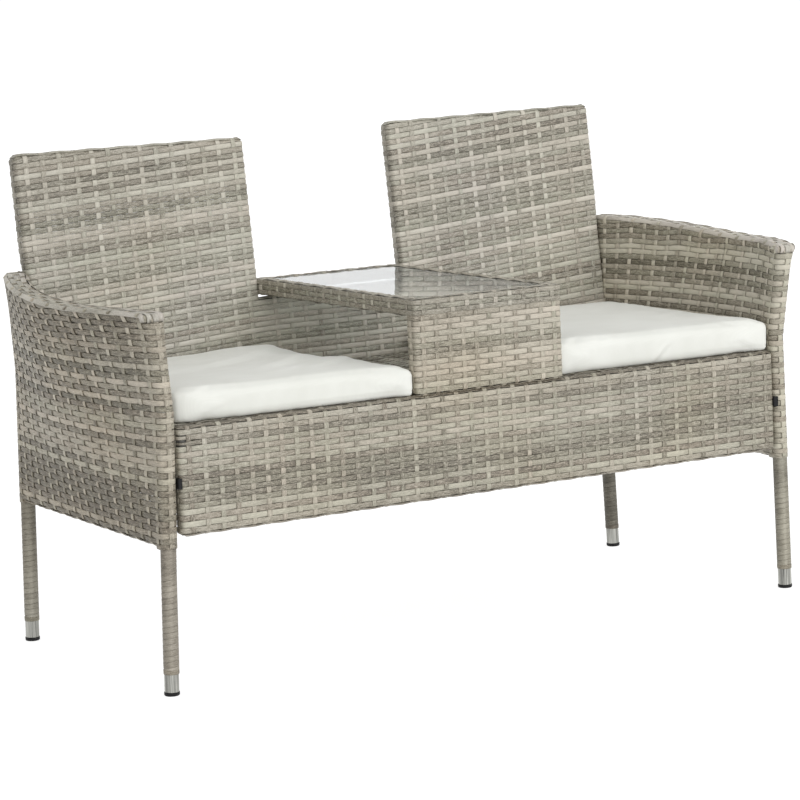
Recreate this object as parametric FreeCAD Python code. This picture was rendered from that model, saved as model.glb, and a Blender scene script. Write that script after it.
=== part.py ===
import FreeCAD, Part
import os
import math

# Companion seat bench: two seats with a small glass-topped table fixed between
# them. Steel tube frames covered with flat woven strip, loose seat cushions.
# Units mm. +X runs along the bench, to the right seen from the front. The
# front faces -Y, +Z is up. Origin: floor level, centre of the box.

os.makedirs("parts", exist_ok=True)

V = FreeCAD.Vector

# ---------------------------------------------------------------- sizes
HEIGHT = 840.0            # top of the tall backrests
Y_SHIFT = -16.7           # brings the middle of the depth to y = 0
WEAVE = 1.6               # thickness of a woven skin
LEG_R = 11.9              # leg and arm tube outer radius
LEG_WALL = 1.2
PANEL_R = 11.0            # tubes inside the 27 mm panels
PANEL_WALL = 1.0
BAR_R = 9.5               # seat bars
WRAP_R = 13.7             # radius over a tube plus its woven skin
PANEL_T = 27.0            # thickness of the woven panels

# apron (long front panel)
APRON_X = 586.0
APRON_Z0, APRON_Z1 = 257.5, 429.5
APRON_Y0 = -270.0
APRON_Y1 = APRON_Y0 + PANEL_T

# arms: leg centre lines (x, y, z), right-hand side
FRONT_LEG = [(613.0, -252.0, 6.5), (601.5, -258.0, 455.0), (618.0, -267.8, 600.0)]
REAR_LEG = [(612.5, 286.0, 6.5), (598.0, 286.0, 475.0), (605.0, 286.0, 634.0)]
ARM_Z0 = 244.3            # lower edge of the arm panel
INNER_MIN = 588.6         # the inner arm face stays outside this x at the backrest
LOWER_RAIL_Z = 258.0
CORNER_Z = 599.2          # where the front post turns into the top rail
CORNER_R = 17.0           # bend radius there
# outer edge of the arm top: y, x, z
ARM_Y = [-280.0, -190.0, -90.0, 10.0, 110.0, 210.0, 265.0, 293.0]
ARM_X = [637.0, 670.0, 688.0, 693.0, 683.0, 654.0, 632.0, 616.8]
ARM_Z = [614.0, 617.0, 617.0, 622.0, 630.0, 638.0, 641.0, 641.0]
# inner edge of the arm top: y, x
ARM_IY = [-280.0, -268.0, -190.0, -90.0, 10.0, 110.0, 210.0, 262.0, 293.0]
ARM_IX = [596.0, 600.0, 631.0, 648.5, 654.0, 643.5, 612.0, 593.5, 591.0]

# backrests: plane leans back by 12 mm per 100 mm
LEAN = math.atan(0.12)
BACK_TOP_Y = 315.0        # rear face at the top
BACK_X0, BACK_X1 = 149.0, 588.0
BACK_Z0 = 245.0
MID_TOP = 560.0           # top of the low middle panel
BACK_T = PANEL_T * math.cos(LEAN)

# table
TABLE_X = 144.0
TABLE_TOP = 589.5
TABLE_Y0, TABLE_Y1 = -270.0, 275.0
RAIL_H = 27.3             # height of the woven table rim
RAIL_W = 19.6             # width of the woven table rim
GLASS_T = 5.0

# cushions
CUSH_X0, CUSH_X1 = 147.0, 583.0
CUSH_Y0, CUSH_Y1 = -268.0, 232.0
CUSH_Z0, CUSH_Z1 = 430.6, 488.0

# M6 x 38 screws and rivet nuts
BOLT_R, BOLT_L, HEAD_R, HEAD_H = 3.0, 38.0, 6.0, 3.5
NUT_R, NUT_L = 4.5, 12.0

NODES = {}


def node(name, *shapes):
    """Keep the shapes as one node, moved to the part's own origin."""
    solids = []
    for s in shapes:
        solids += s.Solids
    comp = solids[0].copy() if len(solids) == 1 else Part.makeCompound([s.copy() for s in solids])
    comp.translate(V(0, Y_SHIFT, 0))
    NODES[name] = comp


def mirror(shape):
    return shape.mirror(V(0, 0, 0), V(1, 0, 0))


def rod(a, b, r):
    a, b = V(*a), V(*b)
    return Part.makeCylinder(r, (b - a).Length, a, b - a)


def tube(a, b, r, wall):
    """Round tube, open at its ends."""
    a, b = V(*a), V(*b)
    d = (b - a).normalize()
    return Part.makeCylinder(r, (b - a).Length, a, d).cut(
        Part.makeCylinder(r - wall, (b - a).Length + 2, a - d, d))


def box(x0, x1, y0, y1, z0, z1):
    return Part.makeBox(x1 - x0, y1 - y0, z1 - z0, V(x0, y0, z0))


def path_wire(points, radii=None):
    """Straight runs joined by tangent arcs."""
    pts = [V(*p) for p in points]
    edges = []
    start = pts[0]
    for i in range(1, len(pts) - 1):
        a = (pts[i - 1] - pts[i])
        b = (pts[i + 1] - pts[i])
        la, lb = a.Length, b.Length
        a.normalize()
        b.normalize()
        turn = math.pi - math.acos(max(-1.0, min(1.0, a.dot(b))))
        cut = 0.45 * min(la, lb)
        if radii and radii[i - 1]:
            cut = min(cut, radii[i - 1] * math.tan(turn / 2))
        r = cut / math.tan(turn / 2)
        p1 = pts[i] + a * cut
        p2 = pts[i] + b * cut
        mid_dir = (a + b).normalize()
        centre = pts[i] + mid_dir * (r / math.cos(turn / 2))
        pm = centre - mid_dir * r
        edges.append(Part.LineSegment(start, p1).toShape())
        edges.append(Part.Arc(p1, pm, p2).toShape())
        start = p2
    edges.append(Part.LineSegment(start, pts[-1]).toShape())
    return Part.Wire(edges)


def pipe(points, r, wall=None, radii=None):
    w = path_wire(points, radii)
    p0 = V(*points[0])
    d = V(*points[1]) - p0

    def sweep(radius):
        c = Part.Wire([Part.Circle(p0, d, radius).toShape()])
        return w.makePipeShell([c], True, False)
    s = sweep(r)
    if wall:
        s = s.cut(sweep(r - wall))
    return s


def spline(xs, ys):
    """Natural cubic spline through the points."""
    n = len(xs)
    h = [xs[i + 1] - xs[i] for i in range(n - 1)]
    a = [0.0] * n
    b = [1.0] * n
    c = [0.0] * n
    d = [0.0] * n
    for i in range(1, n - 1):
        a[i] = h[i - 1]
        b[i] = 2 * (h[i - 1] + h[i])
        c[i] = h[i]
        d[i] = 6 * ((ys[i + 1] - ys[i]) / h[i] - (ys[i] - ys[i - 1]) / h[i - 1])
    for i in range(1, n):
        m = a[i] / b[i - 1]
        b[i] -= m * c[i - 1]
        d[i] -= m * d[i - 1]
    s = [0.0] * n
    s[-1] = d[-1] / b[-1]
    for i in range(n - 2, -1, -1):
        s[i] = (d[i] - c[i] * s[i + 1]) / b[i]

    def f(x):
        i = 0
        while i < n - 2 and x > xs[i + 1]:
            i += 1
        u = x - xs[i]
        v = xs[i + 1] - x
        return ((s[i] * v ** 3 + s[i + 1] * u ** 3) / (6 * h[i])
                + (ys[i] / h[i] - s[i] * h[i] / 6) * v
                + (ys[i + 1] / h[i] - s[i + 1] * h[i] / 6) * u)
    return f


arm_top_x = spline(ARM_Y, ARM_X)
arm_top_z = spline(ARM_Y, ARM_Z)
arm_in_x = spline(ARM_IY, ARM_IX)


def leg_at(leg, z):
    """Centre of a leg at a height."""
    (x0, y0, z0), (x1, y1, z1), (x2, y2, z2) = leg
    if z <= z1:
        t = (z - z0) / (z1 - z0)
        return x0 + t * (x1 - x0), y0 + t * (y1 - y0)
    t = (z - z1) / (z2 - z1)
    return x1 + t * (x2 - x1), y1 + t * (y2 - y1)


def arm_side(y, z, outer=True):
    """x of the woven arm face: a patch held by the two legs, the straight
    lower rail and the bowed top rail."""
    sg = 1.0 if outer else -1.0
    top = arm_top_x if outer else arm_in_x
    zt = arm_top_z(y)
    t = (z - ARM_Z0) / (zt - ARM_Z0)
    yf = leg_at(FRONT_LEG, min(z, 600.0))[1]
    yb = 286.0
    s = (y - yf) / (yb - yf)
    f0 = leg_at(FRONT_LEG, ARM_Z0)[0] + sg * WRAP_R
    b0 = leg_at(REAR_LEG, ARM_Z0)[0] + sg * WRAP_R
    f1, b1 = top(yf), top(yb)
    fz = leg_at(FRONT_LEG, min(z, 600.0))[0] + sg * WRAP_R
    bz = leg_at(REAR_LEG, min(z, 634.0))[0] + sg * WRAP_R
    fe = leg_at(FRONT_LEG, 600.0)[0] + sg * WRAP_R
    be = leg_at(REAR_LEG, 634.0)[0] + sg * WRAP_R
    fz += (f1 - fe) * t ** 6
    bz += (b1 - be) * t ** 6
    bot = f0 + s * (b0 - f0)
    bil = (1 - s) * (1 - t) * f0 + s * (1 - t) * b0 + (1 - s) * t * f1 + s * t * b1
    x = (1 - t) * bot + t * top(y) + (1 - s) * fz + s * bz - bil
    if not outer and y > 190.0:
        # the inner face passes beside the backrest
        x = 0.5 * (x + INNER_MIN + math.sqrt((x - INNER_MIN) ** 2 + 4.0))
    return x


def surf(grid):
    b = Part.BSplineSurface()
    b.interpolate(grid)
    return b.toShape()


# ---------------------------------------------------------------- arm (right)
def build_arm():
    out = {}
    lx, ly = leg_at(FRONT_LEG, 558.0)
    front_pts = [FRONT_LEG[0], FRONT_LEG[1], (lx, ly, 558.0)]
    front = pipe(front_pts, LEG_R, LEG_WALL)
    rear_pts = [REAR_LEG[0], REAR_LEG[1], REAR_LEG[2]]
    rear = pipe(rear_pts, LEG_R, LEG_WALL)
    rear_solid = pipe([REAR_LEG[0], REAR_LEG[1], REAR_LEG[2]], LEG_R)

    def rail_pt(y):
        x = 0.5 * (arm_top_x(y) + arm_in_x(y))
        return (x, y, arm_top_z(y) - WEAVE - 0.2 - WRAP_R)
    d = V(*FRONT_LEG[2]) - V(*FRONT_LEG[1])
    corner = V(*FRONT_LEG[1]) + d * ((CORNER_Z - FRONT_LEG[1][2]) / d.z)
    rail_pts = [(lx, ly, 558.0), (corner.x, corner.y, CORNER_Z)]
    rail_pts += [rail_pt(y) for y in (-200, -100, 0, 100, 195)]
    rail_pts += [(605.3, 283.0, arm_top_z(283) - WEAVE - 0.2 - WRAP_R)]
    bends = [CORNER_R, 0, 0, 0, 0, 0]
    rail = pipe(rail_pts, LEG_R, LEG_WALL, bends)
    rail = rail.cut(rear_solid)
    rail = max(rail.Solids, key=lambda s: s.Volume)

    fx, fy = leg_at(FRONT_LEG, LOWER_RAIL_Z)
    bx, by = leg_at(REAR_LEG, LOWER_RAIL_Z)
    lower = tube((fx, fy, LOWER_RAIL_Z), (bx, by, LOWER_RAIL_Z), LEG_R - 0.6, LEG_WALL)
    lower = lower.cut(rod(FRONT_LEG[0], FRONT_LEG[1], LEG_R)).cut(rod(REAR_LEG[0], REAR_LEG[1], LEG_R))
    lower = max(lower.Solids, key=lambda s: s.Volume)

    # woven skins between the edge wraps
    def skin(outer):
        rows = []
        n, m = 13, 9
        for i in range(n):
            row = []
            for j in range(m):
                tj = j / (m - 1)
                # find z for this row at the column's own y
                z = LOWER_RAIL_Z + 14.3
                y = 0.0
                for _ in range(4):
                    yf = leg_at(FRONT_LEG, min(z, 600.0))[1] + 14.3
                    y = yf + (271.5 - yf) * i / (n - 1)
                    z = (LOWER_RAIL_Z + 14.3) + (arm_top_z(y) - 1.9 - LOWER_RAIL_Z - 14.3) * tj
                row.append(V(arm_side(y, z, outer), y, z))
            rows.append(row)
        face = surf(rows)
        return face.extrude(V(-WEAVE if outer else WEAVE, 0, 0))
    outer, inner = skin(True), skin(False)

    # wraps round the legs, the lower rail and the front top corner
    wr, wi = WRAP_R, LEG_R + 0.15
    low_wrap = []
    c0 = leg_at(FRONT_LEG, 36.0)
    c1 = leg_at(FRONT_LEG, ARM_Z0 - 0.2)
    low_wrap.append(tube((c0[0], c0[1], 36.0), (c1[0], c1[1], ARM_Z0 - 0.2), 12.8, 12.8 - wi))
    c0 = leg_at(REAR_LEG, 36.0)
    c1 = leg_at(REAR_LEG, ARM_Z0 - 0.2)
    low_wrap.append(tube((c0[0], c0[1], 36.0), (c1[0], c1[1], ARM_Z0 - 0.2), 12.8, 12.8 - wi))
    c0 = leg_at(FRONT_LEG, ARM_Z0)
    post = pipe([(c0[0], c0[1], ARM_Z0), FRONT_LEG[1], (lx, ly, 557.9)], wr, wr - wi)
    cr = [(lx, ly, 558.1), (corner.x, corner.y, CORNER_Z), tuple(V(corner.x, corner.y, CORNER_Z) + (V(*rail_pts[2]) - V(corner.x, corner.y, CORNER_Z)).normalize() * 36.0)]
    bend = pipe(cr, wr, wr - wi - 0.25, [CORNER_R])
    c0 = leg_at(REAR_LEG, ARM_Z0)
    rear_wrap = pipe([(c0[0], c0[1], ARM_Z0), REAR_LEG[1], (REAR_LEG[2][0], REAR_LEG[2][1], 634.0)], wr, wr - wi)
    rail_cut = pipe(rail_pts, LEG_R + 0.15, None, bends)
    rear_wrap = rear_wrap.cut(rail_cut)
    rear_wrap = max(rear_wrap.Solids, key=lambda s: s.Volume)
    low_cut = rod((fx, fy, LOWER_RAIL_Z), (bx, by, LOWER_RAIL_Z), WRAP_R + 0.1)
    post = max(post.cut(low_cut).Solids, key=lambda s: s.Volume)
    rear_wrap = max(rear_wrap.cut(low_cut).Solids, key=lambda s: s.Volume)
    lw = tube((fx + (bx - fx) * 0.028, fy + 15.0, LOWER_RAIL_Z), (bx, by - 15.0, LOWER_RAIL_Z), wr, wr - wi)

    # top strip between the outer and the inner edge
    rows = []
    for i in range(13):
        y = -256.0 + (293.0 + 256.0) * i / 12
        z = arm_top_z(y)
        rows.append([V(arm_top_x(y), y, z), V(0.5 * (arm_top_x(y) + arm_in_x(y)), y, z), V(arm_in_x(y), y, z)])
    cap = surf(rows).extrude(V(0, 0, -WEAVE))
    wraps = low_wrap + [post, bend, rear_wrap, lw, cap]

    out["front_leg_tube"] = front
    out["rear_leg_tube"] = rear
    out["top_rail"] = rail
    out["lower_rail"] = lower
    out["outer_weave"] = outer
    out["inner_weave"] = inner
    out["edge_wrap"] = wraps
    return out


ARM = build_arm()

# ---------------------------------------------------------------- screws
BOLTS = []                # (head face position, direction)


def bolt_at(p, d):
    BOLTS.append((V(*p), V(*d)))


# arm to apron, front: from inside the end post through the spacer to the leg
SP_Z = 340.0
SP_Y = -256.5

fl_x, fl_y = leg_at(FRONT_LEG, SP_Z)
for sgn in (1, -1):
    bolt_at((sgn * 562.0, SP_Y, SP_Z), (sgn, 0, 0))


def back_y(z):
    """y of the middle plane of the backrests at a height."""
    return BACK_TOP_Y - 0.12 * (HEIGHT - z) - PANEL_T / 2


Z_LOW = 259.5
Z_HIGH = 606.0
for sgn in (1, -1):
    bolt_at((sgn * 563.6, back_y(Z_LOW), Z_LOW), (sgn, 0, 0))
    bolt_at((sgn * 563.6, 278.5, Z_HIGH), (sgn, 0, 0))
# seat rear rail to the inner uprights of the back
SEAT_Y1 = 224.5
for sgn in (1, -1):
    bolt_at((sgn * 162.4, SEAT_Y1 - BAR_R, 418.5), (0, 1, 0))
# table rear to the inner uprights
for sgn in (1, -1):
    bolt_at((sgn * 126.0, 265.2, 576.7), (sgn, 0, 0))
# table front panel to the apron
for sgn in (1, -1):
    bolt_at((sgn * 90.0, -256.5, 405.5), (0, 0, 1))


def bolt(p, d):
    s = Part.makeCylinder(BOLT_R, BOLT_L, p, d)
    h = Part.makeCylinder(HEAD_R, HEAD_H, p - d * HEAD_H, d)
    h = h.cut(Part.makeCylinder(2.2, 2.0, p - d * (HEAD_H + 0.01), d))
    return s.fuse(h).removeSplitter()


def clear_bolts(shape, r=3.3):
    for p, d in BOLTS:
        c = Part.makeCylinder(r, BOLT_L + 14.0, p - d * 7.0, d)
        if shape.BoundBox.intersect(c.BoundBox):
            shape = shape.cut(c)
    return shape


# nut seats: distance along each screw at which the far wall begins
NUT_AT = []
rl_x = leg_at(REAR_LEG, LOWER_RAIL_Z)[0]


def nut_start(i):
    p, d = BOLTS[i]
    if i in (0, 1):
        return fl_x - LEG_R - 562.0
    if i in (2, 4):
        return leg_at(FRONT_LEG, LOWER_RAIL_Z)[0] + (rl_x - leg_at(FRONT_LEG, LOWER_RAIL_Z)[0]) * 0.9 - LEG_R - 563.6
    if i in (3, 5):
        rx = leg_at(REAR_LEG, Z_HIGH)[0]
        return rx - math.sqrt(LEG_R ** 2 - 7.5 ** 2) - 563.6
    if i in (6, 7):
        return back_y(418.5) - PANEL_R / math.cos(LEAN) - (SEAT_Y1 - BAR_R)
    if i in (8, 9):
        return 162.4 - PANEL_R - 126.0 + 0.6
    return 441.8 - 10.0 - 405.5


nuts = []
for i, (p, d) in enumerate(BOLTS):
    s = nut_start(i)
    n = Part.makeCylinder(NUT_R, NUT_L, p + d * s, d).cut(Part.makeCylinder(BOLT_R + 0.05, NUT_L + 2, p + d * (s - 1), d))
    nuts.append(n)


def clear_nuts(shape, which):
    for i in which:
        p, d = BOLTS[i]
        s = nut_start(i)
        shape = shape.cut(Part.makeCylinder(NUT_R + 0.05, NUT_L + 6.0, p + d * (s - 6.0), d))
    return shape


def biggest(shape):
    return max(shape.Solids, key=lambda s: s.Volume)


# right arm, then the left one as its mirror image
ARM["front_leg_tube"] = biggest(clear_nuts(ARM["front_leg_tube"], [0]))
ARM["lower_rail"] = biggest(clear_nuts(ARM["lower_rail"], [2]))
ARM["rear_leg_tube"] = biggest(clear_nuts(ARM["rear_leg_tube"], [3]))
ARM["inner_weave"] = biggest(clear_bolts(ARM["inner_weave"], 5.0))
ARM["edge_wrap"] = [biggest(clear_bolts(w, 5.0)) for w in ARM["edge_wrap"]]
for part, shp in ARM.items():
    shapes = shp if isinstance(shp, list) else [shp]
    node("right_arm_" + part, *shapes)
    node("left_arm_" + part, *[mirror(s) for s in shapes])

# ---------------------------------------------------------------- foot caps
caps = []
for leg in (FRONT_LEG, REAR_LEG):
    x, y = leg[0][0], leg[0][1]
    c = Part.makeCylinder(12.7, 6.0, V(x, y, 0))
    c = c.makeFillet(2.4, [e for e in c.Edges if abs(e.BoundBox.ZMax) < 1e-6])
    c = c.fuse(Part.makeCylinder(10.1, 14.0, V(x, y, 5.0))).removeSplitter()
    caps += [c, mirror(c)]
node("foot_caps", *caps)


# ---------------------------------------------------------------- woven shells
def shell(x0, x1, y0, y1, z0, z1, open_top=False, open_side=False, corner=0.0, edge=7.0):
    """A thin woven skin round a panel, as a front half and a rear half."""
    o = box(x0, x1, y0, y1, z0, z1)
    if corner:
        es = [e for e in o.Edges if abs(e.BoundBox.YLength - (y1 - y0)) < 1e-3 and e.BoundBox.ZMin > z1 - 1e-3]
        o = o.makeFillet(corner, es)
    es = []
    for e in o.Edges:
        bb = e.BoundBox
        if bb.YLength > 1e-3:
            continue
        if open_top and bb.ZMin > z1 - 1e-3:
            continue
        if open_side and bb.ZLength > 1e-3:
            continue
        es.append(e)
    if edge:
        o = o.makeFillet(edge, es)
    t = WEAVE
    ix0, ix1 = (x0 - 1, x1 + 1) if open_side else (x0 + t, x1 - t)
    iz1 = z1 + 1 if open_top else z1 - t
    i = box(ix0, ix1, y0 + t, y1 - t, z0 + t, iz1)
    if corner:
        es = [e for e in i.Edges if abs(e.BoundBox.YLength - (y1 - y0 - 2 * t)) < 1e-3 and e.BoundBox.ZMin > iz1 - 1e-3]
        i = i.makeFillet(corner - t, es)
    es = []
    for e in i.Edges:
        bb = e.BoundBox
        if bb.YLength > 1e-3:
            continue
        if open_top and bb.ZMin > z1:
            continue
        if open_side and bb.ZLength > 1e-3:
            continue
        es.append(e)
    if edge:
        i = i.makeFillet(edge - t, es)
    s = o.cut(i)
    ym = 0.5 * (y0 + y1)
    f = s.common(box(x0 - 5, x1 + 5, y0 - 5, ym - 0.1, z0 - 5, z1 + 5))
    r = s.common(box(x0 - 5, x1 + 5, ym + 0.1, y1 + 5, z0 - 5, z1 + 5))
    return biggest(f), biggest(r)


# ---------------------------------------------------------------- apron
ay = 0.5 * (APRON_Y0 + APRON_Y1)
top_z = APRON_Z1 - WEAVE - 0.2 - PANEL_R
bot_z = APRON_Z0 + WEAVE + 0.2 + PANEL_R
post_x = APRON_X - WEAVE - 0.2 - PANEL_R
rail_top = tube((-post_x, ay, top_z), (post_x, ay, top_z), PANEL_R, PANEL_WALL)
rail_bot = tube((-post_x, ay, bot_z), (post_x, ay, bot_z), PANEL_R, PANEL_WALL)
end_post = tube((post_x, ay, APRON_Z0 + 6.0), (post_x, ay, APRON_Z1 - 6.0), PANEL_R, PANEL_WALL)
end_cut = rod((post_x, ay, APRON_Z0), (post_x, ay, APRON_Z1), PANEL_R)
for s in (end_cut, mirror(end_cut)):
    rail_top = biggest(rail_top.cut(s))
    rail_bot = biggest(rail_bot.cut(s))
end_post = clear_bolts(end_post)
node("apron_top_rail", biggest(clear_bolts(rail_top)))
node("apron_bottom_rail", rail_bot)
node("apron_right_end_post", biggest(end_post))
node("apron_left_end_post", mirror(biggest(end_post)))
af, ar = shell(-APRON_X, APRON_X, APRON_Y0, APRON_Y1, APRON_Z0, APRON_Z1, edge=8.0)

# ---------------------------------------------------------------- seat frame
SEAT_Z = 430.0 - 1.8 - BAR_R
side_x = APRON_X - 1.8 - BAR_R
rear_rail = tube((-582.0, SEAT_Y1, SEAT_Z), (582.0, SEAT_Y1, SEAT_Z), BAR_R, 1.0)
rear_cut = rod((-600, SEAT_Y1, SEAT_Z), (600, SEAT_Y1, SEAT_Z), BAR_R)
front_cut = rod((-600, ay, top_z), (600, ay, top_z), PANEL_R)


def seat_bar(x):
    b = tube((x, ay, SEAT_Z), (x, SEAT_Y1, SEAT_Z), BAR_R, 1.0)
    return biggest(b.cut(rear_cut).cut(front_cut))


bars_x = [-350.0, -128.0, 128.0, 350.0]
side = seat_bar(side_x)
side = biggest(side.cut(end_cut))
node("seat_right_side_rail", side)
node("seat_left_side_rail", mirror(side))
node("seat_cross_bars", *[seat_bar(x) for x in bars_x])
node("seat_rear_rail", biggest(clear_bolts(rear_rail)))
for x in bars_x + [side_x, -side_x]:
    ar = ar.cut(rod((x, ay, SEAT_Z), (x, SEAT_Y1, SEAT_Z), BAR_R + 0.2))
deck = box(-APRON_X, APRON_X, APRON_Y1 + 0.4, 236.4, 428.3, 430.0)
node("seat_deck_weave", deck)

# spacers between the apron ends and the front legs
sp = Part.makeCylinder(9.0, fl_x - WRAP_R - 0.2 - APRON_X - 0.1, V(APRON_X + 0.1, SP_Y, SP_Z), V(1, 0, 0))
sp = sp.cut(Part.makeCylinder(3.2, 20, V(APRON_X - 5, SP_Y, SP_Z), V(1, 0, 0)))
# rear spacers, low (back panel to lower rail) and high (back panel to rear leg)
lr_x = leg_at(FRONT_LEG, LOWER_RAIL_Z)[0] + (rl_x - leg_at(FRONT_LEG, LOWER_RAIL_Z)[0]) * 0.9
sp2 = Part.makeCylinder(7.0, lr_x - WRAP_R - 0.2 - BACK_X1 - 0.1, V(BACK_X1 + 0.1, back_y(Z_LOW), Z_LOW), V(1, 0, 0))
sp2 = sp2.cut(Part.makeCylinder(3.2, 20, V(BACK_X1 - 5, back_y(Z_LOW), Z_LOW), V(1, 0, 0)))
hx = leg_at(REAR_LEG, Z_HIGH)[0]
sp3 = Part.makeCylinder(7.0, hx - WRAP_R - 0.2 - BACK_X1 - 0.1, V(BACK_X1 + 0.1, 278.5, Z_HIGH), V(1, 0, 0))
sp3 = sp3.cut(Part.makeCylinder(3.2, 20, V(BACK_X1 - 5, 278.5, Z_HIGH), V(1, 0, 0)))
# rear spacers of the table, in the gap to the tall backrests
sp4 = Part.makeCylinder(7.0, BACK_X0 - TABLE_X - 0.3, V(TABLE_X + 0.15, 265.2, 576.7), V(1, 0, 0))
sp4 = sp4.cut(Part.makeCylinder(3.2, 20, V(TABLE_X - 5, 265.2, 576.7), V(1, 0, 0)))
spacers = []
for s in (sp, sp2, sp3, sp4):
    spacers += [s, mirror(s)]
node("panel_spacers", *spacers)

# ---------------------------------------------------------------- back
deg = math.degrees(LEAN)
cL, sL = math.cos(LEAN), math.sin(LEAN)
BACK_MOVE = V(0, BACK_TOP_Y - HEIGHT * math.tan(LEAN), 0)


def lean(shape):
    s = shape.copy()
    s.rotate(V(0, 0, 0), V(1, 0, 0), -deg)
    s.translate(BACK_MOVE)
    return s


def v_front(z):
    """Height in the panel's own plane for a height z of its front edge."""
    return (z - BACK_T * sL) / cL


v0 = BACK_Z0 / cL
v1 = v_front(HEIGHT + 0.7)
vm = v_front(MID_TOP)
by = -BACK_T / 2
ux = BACK_X1 - WEAVE - 0.2 - PANEL_R
ix = BACK_X0 + WEAVE + 0.2 + PANEL_R
tv = v1 - WEAVE - 0.2 - PANEL_R
lv = v0 + WEAVE + 0.2 + PANEL_R
mv = vm - WEAVE - 0.2 - PANEL_R

low = tube((-ux, by, lv), (ux, by, lv), PANEL_R, PANEL_WALL)
low_cut = rod((-700, by, lv), (700, by, lv), PANEL_R)
up_out = tube((ux, by, v0 + 5.0), (ux, by, v1 - 5.0), PANEL_R, PANEL_WALL)
up_out_cut = rod((ux, by, v0), (ux, by, v1), PANEL_R)
low = biggest(low.cut(up_out_cut).cut(mirror(up_out_cut)))
up_in = tube((ix, by, lv), (ix, by, v1 - 5.0), PANEL_R, PANEL_WALL)
up_in = biggest(up_in.cut(low_cut))
up_in_cut = rod((ix, by, v0), (ix, by, v1), PANEL_R)
top = tube((ix, by, tv), (ux, by, tv), PANEL_R, PANEL_WALL)
top = biggest(top.cut(up_out_cut).cut(up_in_cut))
mid = tube((-ix, by, mv), (ix, by, mv), PANEL_R, PANEL_WALL)
mid = biggest(mid.cut(up_in_cut).cut(mirror(up_in_cut)))

r_corner = 18.0
up_out_corner = box(ux - 3, BACK_X1 + 1, by - 30, by + 30, v1 - r_corner, v1 + 5)
# trim the upright ends to the rounded corner of the woven skin
cor = Part.makeCylinder(r_corner - WEAVE - 0.2, 60, V(BACK_X1 - r_corner, by - 30, v1 - r_corner), V(0, 1, 0))
keep = box(-700, BACK_X1 - r_corner, by - 40, by + 40, v0 - 5, v1 + 5).fuse(
    [box(BACK_X1 - r_corner - 1, BACK_X1 + 5, by - 40, by + 40, v0 - 5, v1 - r_corner), cor])
up_out = biggest(up_out.common(keep))
cor = Part.makeCylinder(r_corner - WEAVE - 0.2, 60, V(BACK_X0 + r_corner, by - 30, v1 - r_corner), V(0, 1, 0))
keep = box(BACK_X0 + r_corner, 700, by - 40, by + 40, v0 - 5, v1 + 5).fuse(
    [box(BACK_X0 - 5, BACK_X0 + r_corner + 1, by - 40, by + 40, v0 - 5, v1 - r_corner), cor])
up_in = biggest(up_in.common(keep))

up_out_w = lean(up_out)
up_in_w = lean(up_in)
low_w = lean(low)
up_out_w = clear_bolts(up_out_w)
up_in_w = clear_nuts(clear_bolts(up_in_w), [6, 8])
low_w = clear_bolts(low_w)
node("right_back_outer_upright", biggest(up_out_w))
node("left_back_outer_upright", mirror(biggest(up_out_w)))
node("right_back_inner_upright", biggest(up_in_w))
node("left_back_inner_upright", mirror(biggest(up_in_w)))
node("right_back_top_rail", lean(top))
node("left_back_top_rail", mirror(lean(top)))
node("back_middle_rail", lean(mid))
node("back_lower_rail", biggest(low_w))

bf, br = shell(BACK_X0 + 0.1, BACK_X1, -BACK_T, 0.0, v0, v1, corner=r_corner, edge=7.0)
mf, mr = shell(-BACK_X0 + 0.1, BACK_X0 - 0.1, -BACK_T, 0.0, v0, vm, open_side=True, edge=7.0)
big_low = rod((-ux, by, lv), (ux, by, lv), PANEL_R + 0.2)
big_mid = rod((-ix, by, mv), (ix, by, mv), PANEL_R + 0.2)
bf = biggest(bf.cut(big_low).cut(big_mid))
br = biggest(br.cut(big_low).cut(big_mid))
bf, br, mf, mr = [biggest(clear_bolts(lean(s), 3.3)) for s in (bf, br, mf, mr)]
node("right_back_front_weave", bf)
node("right_back_rear_weave", br)
node("left_back_front_weave", mirror(bf))
node("left_back_rear_weave", mirror(br))
node("middle_back_front_weave", mf)
node("middle_back_rear_weave", mr)

# ---------------------------------------------------------------- table
tz = TABLE_TOP - 1.8 - 11.0
sx = TABLE_X - 1.8 - 8.0
fy0 = TABLE_Y0 + 1.8 + 8.0
ry0 = TABLE_Y1 - 1.8 - 8.0


def rect_tube(x0, x1, y0, y1, z0, z1, along):
    o = box(x0, x1, y0, y1, z0, z1)
    w = 1.2
    if along == "x":
        return o.cut(box(x0 - 1, x1 + 1, y0 + w, y1 - w, z0 + w, z1 - w))
    return o.cut(box(x0 + w, x1 - w, y0 - 1, y1 + 1, z0 + w, z1 - w))


side_rail = rect_tube(sx - 8, sx + 8, TABLE_Y0 + 1.8, TABLE_Y1 - 1.8, tz - 11, tz + 11, "y")
side_rail = biggest(clear_bolts(side_rail))
front_rail = rect_tube(-sx + 8, sx - 8, fy0 - 8, fy0 + 8, tz - 11, tz + 11, "x")
t_rear_rail = rect_tube(-sx + 8, sx - 8, ry0 - 8, ry0 + 8, tz - 11, tz + 11, "x")
node("table_right_rail", side_rail)
node("table_left_rail", mirror(side_rail))
node("table_front_rail", front_rail)
node("table_rear_rail", biggest(t_rear_rail.cut(Part.makeCylinder(7.0, 8.0, V(118.0, 265.2, 576.7), V(1, 0, 0))).cut(
    Part.makeCylinder(7.0, 8.0, V(-126.0, 265.2, 576.7), V(1, 0, 0)))))

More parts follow.
